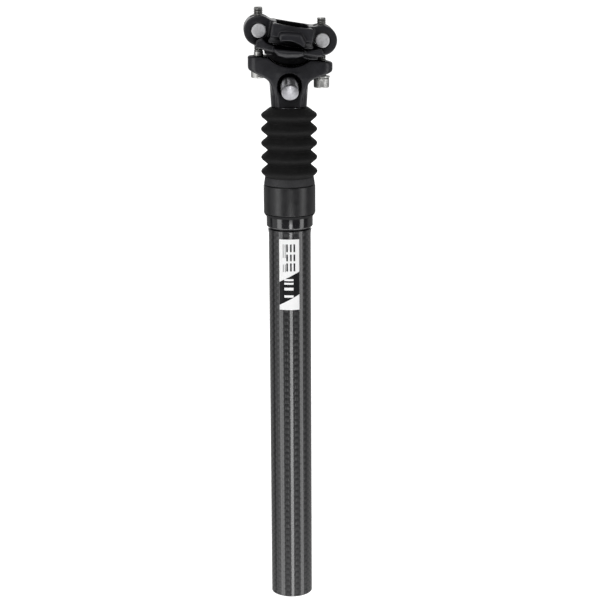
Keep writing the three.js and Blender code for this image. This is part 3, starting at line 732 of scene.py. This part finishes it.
def yoke_field(x, y, z):
    around = NECK_RADIUS - NECK_TAPER * np.clip(NECK_TAPER_TOP - z, 0, 20)
    neck = smooth_max(np.hypot(x, y) - around, slab(z, YOKE_LOW.z, NECK_TOP), 0.5)
    body = smooth_min(yoke_lobes(x, y, z), neck, 1.6)
    body = without(body, disc(x, z, PIVOT.x, PIVOT.z, SADDLE_RADIUS), 0.7)
    body = without(body, arched_recess(x, y, z), 0.5)
    body = smooth_min(body, neck_ribs(x, y, z, around), 0.3)
    socket = smooth_max(np.hypot(x, y) - NECK_SOCKET_RADIUS, z - NECK_SOCKET_TOP, 0.3)
    body = without(body, socket, 0.3)
    body = without(body, lock_distance(x, y, z, LOCK_RADIUS + GAP, LOCK_LENGTH + GAP), 0.3)
    body = without(body, lock_distance(x, y, z, LOCK_POCKET_RADIUS, LOCK_POCKET_DEPTH), 0.5)
    for screw_x, (pocket, seat) in ((REAR_NUT.x, REAR_POCKET), (FRONT_NUT.x, FRONT_POCKET)):
        across = np.hypot(x - screw_x, y)
        tool = np.minimum(across - SCREW_HOLE_RADIUS, np.maximum(across - pocket, z - seat))
        body = without(body, tool, 0.5)
    return body


def lock_distance(x, y, z, radius, depth):
    """Distance to a bore round the lock screw's axis, from its outer face to depth."""
    along = (y - LOCK_FACE.y) * math.cos(LOCK_LEAN) + (z - LOCK_FACE.z) * math.sin(LOCK_LEAN)
    across = (z - LOCK_FACE.z) * math.cos(LOCK_LEAN) - (y - LOCK_FACE.y) * math.sin(LOCK_LEAN)
    return np.maximum(np.hypot(x, across) - radius, along - depth)


def head():
    yoke = forged("forged_yoke", yoke_field, YOKE_LOW, YOKE_HIGH, step=0.36)
    stand_in(yoke, "head_yoke", "slider")


def lock_screw():
    stations = [(0, 0), (LOCK_RADIUS - 0.7, 0), (LOCK_RADIUS - 0.25, 0.22), (LOCK_RADIUS - 0.02, 0.7)]
    stations += thread(LOCK_RADIUS, LOCK_PITCH, 1.1, LOCK_LENGTH)
    stations += [(LOCK_RADIUS - 1.0, LOCK_LENGTH), (0, LOCK_LENGTH)]
    plug = spun("lock_screw", stations, 96, place=LOCK_PLACE)
    stand_in(plug, "head_lock_screw", "slider", "zinc_plug")


# ---------------------------------------------------------------- clamp

# The clamp's own axes start at the tilt's pivot, midway between the dowels.
# u runs forwards along the clamp, v across it and w up.

EYE_RADIUS = 9.2
EYE_HALF_WIDTH = 10.7
DOWEL_HOLE_RADIUS = 4.65
SCREW_SLOT_HALF_LENGTH = 3.9
SCREW_SLOT_HALF_WIDTH = 3.5
DECK_HALF_WIDTH = 21.8
UPPER_JAW_START, LOWER_JAW_START, JAW_END = 12, 14.5, 26.0
JAW_FOOT, JAW_LEAN = -5.6, 0.14
SCOOP_REAR, SCOOP_FRONT = -9.9, 10.5
SCOOP_HALF_WIDTH, SCOOP_FLOOR = 20.4, 0.8
ARCH_U, ARCH_W, JAW_ARCH_RADIUS, JAW_ARCH_START = -0.5, -15.8, 13.6, 22.4
EAR_SIDES = (11.4, 17.4)
SKIRT_SIDES = (11.4, 12.7)
ROCKER_RADIUS = 19.0
ROCKER_HALF_WIDTH = 8.0
RAIL_SIDE, RAIL_LEVEL = 22.0, -4.9
RAIL_GROOVE_RADIUS = 3.6

ARMS_OUTLINE = (
    (-EYE_OFFSET, EYE_RADIUS, 0),
    (-12, 7.0, 8.0),
    (12, 7.0, 8.0),
    (EYE_OFFSET, EYE_RADIUS, 0),
    (EYE_OFFSET, -EYE_RADIUS, 0),
    (13, -5.0, 2.0),
    (-13, -5.0, 2.0),
    (-EYE_OFFSET, -EYE_RADIUS, 0),
)
CREST_OUTLINE = (
    (-12.8, -3.0, 1.0),
    (-12.8, 6.2, 2.5),
    (-11.0, 7.0, 1.5),
    (-8.6, 6.7, 4.0),
    (0, 6.6, 20.0),
    (8.6, 6.6, 4.0),
    (11.6, 6.7, 1.5),
    (13.4, 5.8, 2.5),
    (13.4, -3.0, 1.0),
)
UPPER_JAW_OUTLINE = (
    (-7.8, JAW_FOOT, 0.8),
    (-7.8, 1.6, 2.0),
    (-4.0, 2.6, 4.0),
    (5.5, 3.2, 2.5),
    (9.4, -1.6, 2.0),
    (10.4, JAW_FOOT, 0.8),
)
EAR_OUTLINE = (
    (-20.8, -10.2, 1.2),
    (-11.4, -10.7, 1.0),
    (0, -11.6, 3.0),
    (9.2, -9.7, 3.0),
    (18.6, -9.9, 1.5),
    (21.9, -8.8, 1.0),
    (20.9, -5.5, 1.5),
    (17.8, -4.9, 1.5),
    (14.8, -5.9, 0.8),
    (9.4, -6.9, 1.0),
    (-9.4, -6.9, 1.0),
    (-14.3, -5.9, 1.0),
    (-17.2, -3.7, 2.0),
    (-20.8, -6.0, 1.2),
)
LOWER_JAW_OUTLINE = (
    (-9.2, -8.0, 1.0),
    (-9.9, -9.6, 1.4),
    (-6.4, -12.3, 3.0),
    (-1.5, -12.9, 4.0),
    (5.0, -11.8, 4.0),
    (9.4, -9.8, 1.6),
    (9.4, -6.3, 1.0),
    (0, -7.3, 8.0),
    (-6.4, -7.9, 1.0),
)
FRONT_SKIRT_OUTLINE = (
    (9.4, -9.4, 0),
    (9.4, -12.2, 0.8),
    (14, -12.6, 2.0),
    (18.8, -11.9, 1.0),
    (18.8, -9.4, 0),
)
REAR_SKIRT_OUTLINE = (
    (-9.4, -10, 0),
    (-14.6, -10, 0),
    (-14.6, -13.4, 1.0),
    (-9.4, -13.4, 1.0),
)


def rail_grooves(side, w):
    return disc(side, w, RAIL_SIDE, RAIL_LEVEL, RAIL_GROOVE_RADIUS)


def upper_jaws(u, side, w):
    """The jaws over the rails, with a thin lip along their lower edge."""
    lean = JAW_LEAN * (w - JAW_FOOT)
    jaws = outline(u, w, UPPER_JAW_OUTLINE)
    jaws = smooth_max(jaws, slab(side + lean, UPPER_JAW_START, JAW_END), 2.8)
    lip = block(u, side, w, (-13.4, UPPER_JAW_START, JAW_FOOT), (14.4, 25.2, -3.4), 0.9)
    return jaws, lip


def upper_clamp_field(u, v, w):
    side = np.abs(v)
    rear_eye = disc(u, w, -EYE_OFFSET, 0, EYE_RADIUS)
    eyes = np.minimum(rear_eye, disc(u, w, EYE_OFFSET, 0, EYE_RADIUS))
    bars = smooth_max(smooth_min(outline(u, w, ARMS_OUTLINE), eyes, 1.5), side - EYE_HALF_WIDTH, 1.2)
    deck = smooth_max(outline(u, w, CREST_OUTLINE), side - DECK_HALF_WIDTH, 1.2)
    jaws, lip = upper_jaws(u, side, w)
    body = smooth_min(deck, jaws, 1.2)
    body = smooth_min(body, lip, 1.4)
    body = smooth_min(body, bars, 2.4)
    scoop = smooth_max(slab(u, SCOOP_REAR, SCOOP_FRONT), side - SCOOP_HALF_WIDTH, 7.0)
    scoop = smooth_max(scoop, SCOOP_FLOOR - w, 2.4)
    body = without(body, scoop, 0.5)
    arch = disc(u, w, ARCH_U, ARCH_W, JAW_ARCH_RADIUS)
    body = without(body, smooth_max(arch, JAW_ARCH_START - side, 0.5), 0.5)
    body = without(body, rail_grooves(side, w), 0.4)
    lean = w * math.tan(TILT)
    for eye in (-EYE_OFFSET, EYE_OFFSET):
        body = without(body, disc(u, w, eye, 0, DOWEL_HOLE_RADIUS), 0.5)
        sweep = np.abs(u - eye + lean) - SCREW_SLOT_HALF_LENGTH - 0.15 * np.abs(w)
        slot = smooth_max(sweep, side - SCREW_SLOT_HALF_WIDTH, 1.0)
        body = without(body, slot, 0.4)
    return body


def rocker_belly(u, side, w):
    """The round belly that rocks in the yoke's saddle, cut away at its ends for the screws."""
    rocker = smooth_max(np.hypot(u, w) - ROCKER_RADIUS, slab(u, -15.4, 15.4), 0.8)
    rocker = smooth_max(smooth_max(rocker, w + 8.5, 0.5), side - ROCKER_HALF_WIDTH, 0.6)
    return smooth_max(rocker, smooth_min(3.9 - side, np.abs(u) - 10.6, 1.0), 0.5)


def lower_clamp_field(u, v, w):
    side = np.abs(v)
    ears = smooth_max(outline(u, w, EAR_OUTLINE), slab(side, *EAR_SIDES), 1.2)
    jaws = smooth_max(outline(u, w, LOWER_JAW_OUTLINE), slab(side, LOWER_JAW_START, JAW_END), 3.4)
    bridge = block(u, side, w, (-9.5, -13, -11), (9.5, 13, -7), 0.8)
    skirts = np.minimum(outline(u, w, FRONT_SKIRT_OUTLINE), outline(u, w, REAR_SKIRT_OUTLINE))
    skirts = smooth_max(skirts, slab(side, *SKIRT_SIDES), 0.4)
    middle = smooth_min(bridge, rocker_belly(u, side, w), 1.2)
    body = smooth_min(smooth_min(ears, jaws, 1.4), middle, 1.0)
    body = smooth_min(body, skirts, 0.8)
    return without(body, rail_grooves(side, w), 0.4)


def clamps():
    low, high = (-30, -26.5, -11), (30, 26.5, 10)
    top = forged("rail_clamp_top", upper_clamp_field, low, high, place=CLAMP_PLACE)
    stand_in(top, "upper_clamp", "clamp")
    low, high = (-22, -26.5, -20), (23, 26.5, -2)
    base = forged("rail_clamp_base", lower_clamp_field, low, high, place=CLAMP_PLACE)
    stand_in(base, "lower_clamp", "clamp")


# ---------------------------------------------------------------- fasteners

SCREW_SHANK_RADIUS = 2.95
SCREW_HEAD_HEIGHT = 6.0
SCREW_SOCKET = 5.0
SCREW_SOCKET_DEPTH = 3.0
SCREW_PITCH = 1.0
SCREW_THREAD_START = 16.0
KNURL_DEPTH = 0.12
KNURL_RIDGES = 36
WASHER_HOLE_RADIUS = 3.15
DOWEL_SCREW_HOLE_RADIUS = 3.6


def cap_screw(name, node, body):
    """A socket-head screw, head down, with a knurled head and a cut thread on its upper part."""
    low, high = span(node)
    x = (low.x + high.x) / 2
    head_radius = (high.x - low.x) / 2
    head_top = SCREW_HEAD_HEIGHT
    length = high.z - low.z
    shank = SCREW_SHANK_RADIUS
    socket = hexagon(SCREW_SOCKET)
    grip = knurl(head_radius, KNURL_DEPTH, KNURL_RIDGES)
    stations = [
        (0, SCREW_SOCKET_DEPTH),
        (socket, SCREW_SOCKET_DEPTH),
        (socket, 0.35),
        (3.15, 0.0),
        (head_radius - 0.75, 0.0),
        (head_radius - 0.2, 0.3),
        (head_radius, 0.8),
        (grip, 1.1),
        (grip, head_top - 0.6),
        (head_radius - 0.02, head_top - 0.4),
        (head_radius - 0.3, head_top),
        (shank + 0.4, head_top),
        (shank, head_top + 0.4),
        (shank, SCREW_THREAD_START - 0.4),
    ]
    stations += thread(shank, SCREW_PITCH, SCREW_THREAD_START, length)
    stations += [(shank - 0.8, length), (0, length)]
    stand_in(spun(name, stations, 144, place=Matrix.Translation((x, 0, low.z))), node, body)


def washer(name, node, body):
    low, high = span(node)
    x = (low.x + high.x) / 2
    outer = (high.x - low.x) / 2
    corners = [
        (WASHER_HOLE_RADIUS, low.z, 0.15),
        (outer, low.z, 0.25),
        (outer, high.z, 0.4),
        (WASHER_HOLE_RADIUS, high.z, 0.15),
    ]
    stand_in(turned_ring(name, corners, 72, place=Matrix.Translation((x, 0, 0))), node, body)


def dowel_field(half_length, radius):
    """A cross dowel along Y with chamfered ends and an upright screw hole."""

    def field(x, y, z):
        across = np.hypot(x, z)
        bar = smooth_max(across - radius, np.abs(y) - half_length, 0.5)
        bar = smooth_max(bar, (across + np.abs(y)) - (radius + half_length - 0.45), 0.2)
        hole = np.hypot(x, y) - DOWEL_SCREW_HOLE_RADIUS
        return without(bar, hole, 0.4)

    return field


def dowel(name, node, body):
    low, high = span(node)
    half_length = (high.y - low.y) / 2
    radius = (high.x - low.x) / 2
    field = dowel_field(half_length, radius)
    reach = (radius, half_length, radius)
    place = Matrix.Translation((low + high) / 2)
    made = forged(name, field, [-r for r in reach], reach, step=0.22, place=place)
    stand_in(soften(made, 50), node, body, "zinc_dowel")


# ---------------------------------------------------------------- label

LABEL_LOW, LABEL_HIGH = 197.9, 243.9
LABEL_LEFT, LABEL_RIGHT = -7.6, 5.5
BAND_RIGHT = (222.9, 208.1)
BAND_LEFT = (216.2, 201.0)
BAR_ROWS = ((235.8, 240.8), (229.9, 234.2), (223.3, 228.5))
BAR_COLUMNS = (-2.4, 0.0, 2.2)
BAR_HALF_WIDTH = 0.5
LINE_ROWS = ((232.0, 240.8), (222.8, 227.7))
LINE_COLUMNS = (-4.9, -3.6)
LINE_HALF_WIDTH = 0.15
TICK_ROWS = ((214.6, 215.8), (217.0, 218.2), (210.8, 212.6), (206.1, 207.6))
TICK_LEFT, TICK_RIGHT = -4.3, 1.6
PANEL_LIFT, BAND_LIFT, MARK_LIFT = 0.01, 0.05, 0.09
FILM = 0.03


def decal(name, corners, lift, finish):
    """A thin film on the tube. A corner is (distance round the tube from its -Y side, z)."""
    work = bmesh.new()
    work.faces.new([work.verts.new((s, 0, z)) for s, z in corners])
    low = min(s for s, _ in corners)
    high = max(s for s, _ in corners)
    for s in np.arange(low + 0.4, high, 0.4):
        bmesh.ops.bisect_plane(
            work,
            geom=work.verts[:] + work.edges[:] + work.faces[:],
            plane_co=(s, 0, 0),
            plane_no=(1, 0, 0),
        )
    grown = bmesh.ops.extrude_face_region(work, geom=work.faces[:])["geom"]
    for vertex in (g for g in grown if isinstance(g, bmesh.types.BMVert)):
        vertex.co.y = 1.0
    for vertex in work.verts:
        radius = POST_RADIUS + lift + FILM * vertex.co.y
        angle = vertex.co.x / POST_RADIUS
        vertex.co = Vector((radius * math.sin(angle), -radius * math.cos(angle), vertex.co.z)) * MM
    bmesh.ops.recalc_face_normals(work, faces=work.faces)
    mesh = bpy.data.meshes.new(name)
    work.to_mesh(mesh)
    work.free()
    made = bpy.data.objects.new(name, mesh)
    bpy.context.scene.collection.objects.link(made)
    soften(made)
    dress(made, "post_tube", "post", finish)


def upright_box(left, right, low, high):
    return [(left, low), (right, low), (right, high), (left, high)]


def label_marks(name, rows, columns, half_width):
    for row, (low, high) in enumerate(rows):
        for column, middle in enumerate(columns):
            bar = upright_box(middle - half_width, middle + half_width, low, high)
            decal(f"{name}_{row}_{column}", bar, MARK_LIFT, "label_black")


def label():
    """A white panel with a slanting black band, and plain bars where a maker would print."""
    left, right = LABEL_LEFT, LABEL_RIGHT
    decal("label_panel", upright_box(left, right, LABEL_LOW, LABEL_HIGH), PANEL_LIFT, "label_white")
    band = [(left, BAND_LEFT[1]), (right, BAND_RIGHT[1]), (right, BAND_RIGHT[0]), (left, BAND_LEFT[0])]
    decal("label_band", band, BAND_LIFT, "label_black")
    label_marks("label_bar", BAR_ROWS, BAR_COLUMNS, BAR_HALF_WIDTH)
    label_marks("label_line", LINE_ROWS, LINE_COLUMNS, LINE_HALF_WIDTH)
    for row, (low, high) in enumerate(TICK_ROWS):
        tick = upright_box(TICK_LEFT, TICK_RIGHT, low, high)
        decal(f"label_tick_{row}", tick, MARK_LIFT, "label_white")


# ---------------------------------------------------------------- inside the post

SPRING_WIRE_RADIUS = 1.7
SPRING_TURNS = 13.0
SPRING_CLOSED_TURNS = 0.9


def coil():
    """The main spring, with closed ends."""
    low, high = span("main_spring")
    wire = SPRING_WIRE_RADIUS
    mean = high.x - wire
    turns, closed = SPRING_TURNS, SPRING_CLOSED_TURNS
    around, per_turn = 12, 36
    steps = round(turns * per_turn)
    foot = low.z + wire
    rise = high.z - low.z - 2 * wire
    vertices, faces = [], []
    for i in range(steps + 1):
        turn = turns * i / steps
        lift = np.clip((turn - closed * 0.5) / (turns - closed), 0, 1)
        angle = 2 * math.pi * turn
        for k in range(around):
            phase = 2 * math.pi * k / around
            radius = mean + wire * math.cos(phase)
            height = foot + rise * lift + wire * math.sin(phase)
            vertices.append((radius * math.cos(angle), radius * math.sin(angle), height))
    for i in range(steps):
        for k in range(around):
            j = (k + 1) % around
            a, b = i * around, (i + 1) * around
            faces.append((a + k, a + j, b + j, b + k))
    faces.append(tuple(range(around)))
    faces.append(tuple(range(steps * around, (steps + 1) * around)))
    spring = dress(soften(mesh_object("coil_spring", vertices, faces)), "main_spring", "post")
    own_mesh(spring)
    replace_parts(spring, "main_spring")


FOOT_THREAD_PITCH = 1.5
FOOT_THREAD_DEPTH = 0.14
PLUG_SOCKET = 8.0
PLUG_SOCKET_DEPTH = 10.0


def grooves(radius, low, high):
    """Stations of a shallow wave, which reads as the fine thread between the plug and its insert."""
    stations = []
    for z in np.arange(low, high, FOOT_THREAD_PITCH / 4):
        wave = math.sin(2 * math.pi * z / FOOT_THREAD_PITCH)
        stations.append((radius + FOOT_THREAD_DEPTH * wave, z))
    return stations


def foot_insert():
    """The threaded sleeve bonded into the post's lower end."""
    low, high = span("base_insert")
    bore = span("preload_plug")[1].x + GAP
    stations = [(bore, high.z), (high.x, high.z), (high.x, low.z + 0.5), (high.x - 0.5, low.z)]
    stations += [(bore + 0.8, low.z), (bore, low.z + 0.8)]
    stations += grooves(bore, low.z + 1.2, high.z - 0.8)
    stand_in(spun("foot_insert", stations, 96, closed=True), "base_insert", "post")


def adjuster():
    """The preload plug, with its hex socket opening downwards."""
    low, high = span("preload_plug")
    radius = high.x
    socket = hexagon(PLUG_SOCKET)
    depth = PLUG_SOCKET_DEPTH
    stations = [
        (0, low.z + depth + 1.2),
        (3.2, low.z + depth),
        (socket, low.z + depth),
        (socket, low.z + 0.6),
        (4.9, low.z),
        (radius - 0.9, low.z),
        (radius - 0.1, low.z + 0.8),
    ]
    stations += grooves(radius - FOOT_THREAD_DEPTH, low.z + 1.2, high.z - 1.0)
    stations += [(radius - 0.6, high.z), (0, high.z)]
    stand_in(spun("preload_adjuster", stations, 96), "preload_plug", "plug")


# ---------------------------------------------------------------- assembly


def smooth_faces():
    """A node group that shades faces smoothly, and keeps edges sharper than 30 degrees crisp."""
    group = bpy.data.node_groups.new("smooth_faces", "GeometryNodeTree")
    group.interface.new_socket("Geometry", in_out="INPUT", socket_type="NodeSocketGeometry")
    group.interface.new_socket("Geometry", in_out="OUTPUT", socket_type="NodeSocketGeometry")
    nodes, links = group.nodes, group.links
    source = nodes.new("NodeGroupInput")
    result = nodes.new("NodeGroupOutput")
    angle = nodes.new("GeometryNodeInputMeshEdgeAngle")
    gentle = nodes.new("FunctionNodeCompare")
    gentle.operation = "LESS_THAN"
    gentle.inputs["B"].default_value = math.radians(30)
    links.new(angle.outputs["Unsigned Angle"], gentle.inputs["A"])
    faces = nodes.new("GeometryNodeSetShadeSmooth")
    faces.domain = "FACE"
    edges = nodes.new("GeometryNodeSetShadeSmooth")
    edges.domain = "EDGE"
    links.new(source.outputs[0], faces.inputs["Geometry"])
    links.new(faces.outputs[0], edges.inputs["Geometry"])
    links.new(gentle.outputs["Result"], edges.inputs["Shade Smooth"])
    links.new(edges.outputs[0], result.inputs[0])
    return group


def carried_over_nodes():
    """CAD nodes whose shape is right keep it, with broken edges, smooth shading and their finish."""
    group = smooth_faces()
    for name, node in frame["nodes"].items():
        if node.hide_render:
            continue
        edge = node.modifiers.new("broken_edges", "BEVEL")
        edge.width = 0.15 * MM
        edge.segments = 2
        edge.limit_method = "ANGLE"
        node.modifiers.new("smooth_faces", "NODES").node_group = group
        node.data.materials.clear()
        node.data.materials.append(FINISHES[SLOT_OF[name]])


carbon_tube()
ferrule()
collar()
boot_cuff()
boot_bellows()
head()
lock_screw()
clamps()
cap_screw("rear_cap_screw", "rear_clamp_bolt", "rear_bolt")
cap_screw("front_cap_screw", "front_clamp_bolt", "front_bolt")
washer("rear_head_washer", "rear_washer", "slider")
washer("front_head_washer", "front_washer", "slider")
dowel("rear_cross_dowel", "rear_barrel_nut", "rear_nut")
dowel("front_cross_dowel", "front_barrel_nut", "front_nut")
label()
coil()
foot_insert()
adjuster()
carried_over_nodes()

# ---------------------------------------------------------------- camera, lights and backdrop

CAMERA_DISTANCE = 1.0337
CAMERA_HEIGHT = 0.4581
CAMERA_AZIMUTH = math.radians(-2.5)
CAMERA_PITCH = math.radians(13.96)
CAMERA_AIM_OFF = math.radians(0.352)
CAMERA_ROLL = math.radians(0.28)
CAMERA_LENS = 98.7


def camera():
    lens = bpy.data.cameras.new("camera")
    lens.lens = CAMERA_LENS
    made = bpy.data.objects.new("camera", lens)
    bpy.context.scene.collection.objects.link(made)
    made.location = (
        CAMERA_DISTANCE * math.sin(CAMERA_AZIMUTH),
        -CAMERA_DISTANCE * math.cos(CAMERA_AZIMUTH),
        CAMERA_HEIGHT,
    )
    heading = -CAMERA_AZIMUTH + CAMERA_AIM_OFF
    forward = Vector((
        math.sin(heading) * math.cos(CAMERA_PITCH),
        math.cos(heading) * math.cos(CAMERA_PITCH),
        -math.sin(CAMERA_PITCH),
    ))
    made.rotation_mode = "QUATERNION"
    made.rotation_quaternion = Quaternion(forward, CAMERA_ROLL) @ forward.to_track_quat("-Z", "Y")
    bpy.context.scene.camera = made


TENT_RADIUS = 0.75
TENT_LOW, TENT_HIGH = -0.45, 1.1
TENT_DARK = 0.07
TENT_DIM = 0.3
TENT_BRIGHT = 2.4
LOW_STRIP_TOP = 0.085
LOW_STRIP_RADIUS = 0.74
LOW_STRIP_RADIANCE = 5.5
CEILING_RADIANCE = 0.12
TABLE_RADIANCE = 1.9
WORLD_RADIANCE = 1.15
KEY_POWER = 2.6
KEY_SIZE = 0.5
KEY_PLACE = (-0.2, -0.6, 0.98)
KEY_TARGET = (0, 0, 0.3)
WHITE = (1, 1, 1, 1)


def glow(name, radiance):
    """A plain white emission of that radiance."""
    material = bpy.data.materials.new(name)
    material.use_nodes = True
    tree = material.node_tree
    tree.nodes.clear()
    emission = tree.nodes.new("ShaderNodeEmission")
    emission.inputs["Color"].default_value = WHITE
    emission.inputs["Strength"].default_value = radiance
    output = tree.nodes.new("ShaderNodeOutputMaterial")
    tree.links.new(emission.outputs[0], output.inputs["Surface"])
    return material


def unseen(made, radiance):
    """A card of the studio tent: it lights the part and is reflected, but the camera looks through it."""
    made.data.materials.append(glow(f"{made.name}_glow", radiance))
    made.visible_camera = False


def upright_card(start, end, radiance, top=TENT_HIGH, radius=TENT_RADIUS):
    """A curved card. Its ends are degrees round from the camera side, to the right."""
    steps = 6
    vertices, faces = [], []
    for i in range(steps + 1):
        angle = math.radians(start + (end - start) * i / steps)
        x, y = radius * math.sin(angle), -radius * math.cos(angle)
        vertices += [(x / MM, y / MM, TENT_LOW / MM), (x / MM, y / MM, top / MM)]
    for i in range(steps):
        faces.append((2 * i, 2 * i + 1, 2 * i + 3, 2 * i + 2))
    unseen(mesh_object(f"card_{start}_{end}", vertices, faces), radiance)


def level_card(name, inner, outer, reach, height, radiance):
    """A flat sector of a ring, centred on the camera side."""
    steps = 16
    vertices, faces = [], []
    for i in range(steps + 1):
        angle = math.radians(reach * (2 * i / steps - 1))
        for radius in (inner, outer):
            vertices.append((radius * math.sin(angle) / MM, -radius * math.cos(angle) / MM, height / MM))
    for i in range(steps):
        faces.append((2 * i, 2 * i + 1, 2 * i + 3, 2 * i + 2))
    unseen(mesh_object(name, vertices, faces), radiance)


# Each upright card: its two ends in degrees, and its radiance.
CARDS = (
    (-160, -113, TENT_DIM),
    (-113, -98, 0.0),
    (-98, -66, 0.5),
    (-66, -43, TENT_BRIGHT),
    (-43, 50, TENT_DARK),
    (50, 70, TENT_BRIGHT),
    (70, 97, TENT_DARK),
    (97, 160, TENT_DIM),
)


def studio():
    for start, end, radiance in CARDS:
        upright_card(start, end, radiance)
    upright_card(-4, 10, LOW_STRIP_RADIANCE, LOW_STRIP_TOP, LOW_STRIP_RADIUS)
    level_card("ceiling", 0.0, TENT_RADIUS, 180, TENT_HIGH, CEILING_RADIANCE)
    level_card("table", 0.08, 0.6, 110, TENT_LOW + 0.1, TABLE_RADIANCE)
    world = bpy.data.worlds.new("studio")
    world.use_nodes = True
    background = world.node_tree.nodes["Background"]
    background.inputs["Color"].default_value = WHITE
    background.inputs["Strength"].default_value = WORLD_RADIANCE
    bpy.context.scene.world = world
    bpy.context.scene.view_settings.view_transform = "Standard"


def floor():
    size = 6000
    height = TENT_LOW / MM
    corners = [(-size, -size, height), (size, -size, height), (size, size, height), (-size, size, height)]
    made = mesh_object("floor", corners, [(0, 1, 2, 3)])
    paper = Finish("white_paper", (0.9, 0.9, 0.9), 0.9)
    paper.set("Base Color", paper.mix(paper.noise(40.0, 2.0), (0.96, 0.96, 0.96), (0.93, 0.93, 0.93)))
    paper.set("Emission Color", WHITE)
    paper.set("Emission Strength", 0.35)
    made.data.materials.append(paper.material)


def key_light():
    """A large soft light above and in front of the post."""
    data = bpy.data.lights.new("key", "AREA")
    data.energy = KEY_POWER
    data.size = KEY_SIZE
    made = bpy.data.objects.new("key", data)
    bpy.context.scene.collection.objects.link(made)
    made.location = KEY_PLACE
    made.rotation_mode = "QUATERNION"
    made.rotation_quaternion = (Vector(KEY_TARGET) - made.location).to_track_quat("-Z", "Y")
    made.visible_camera = False


camera()
studio()
floor()
key_light()
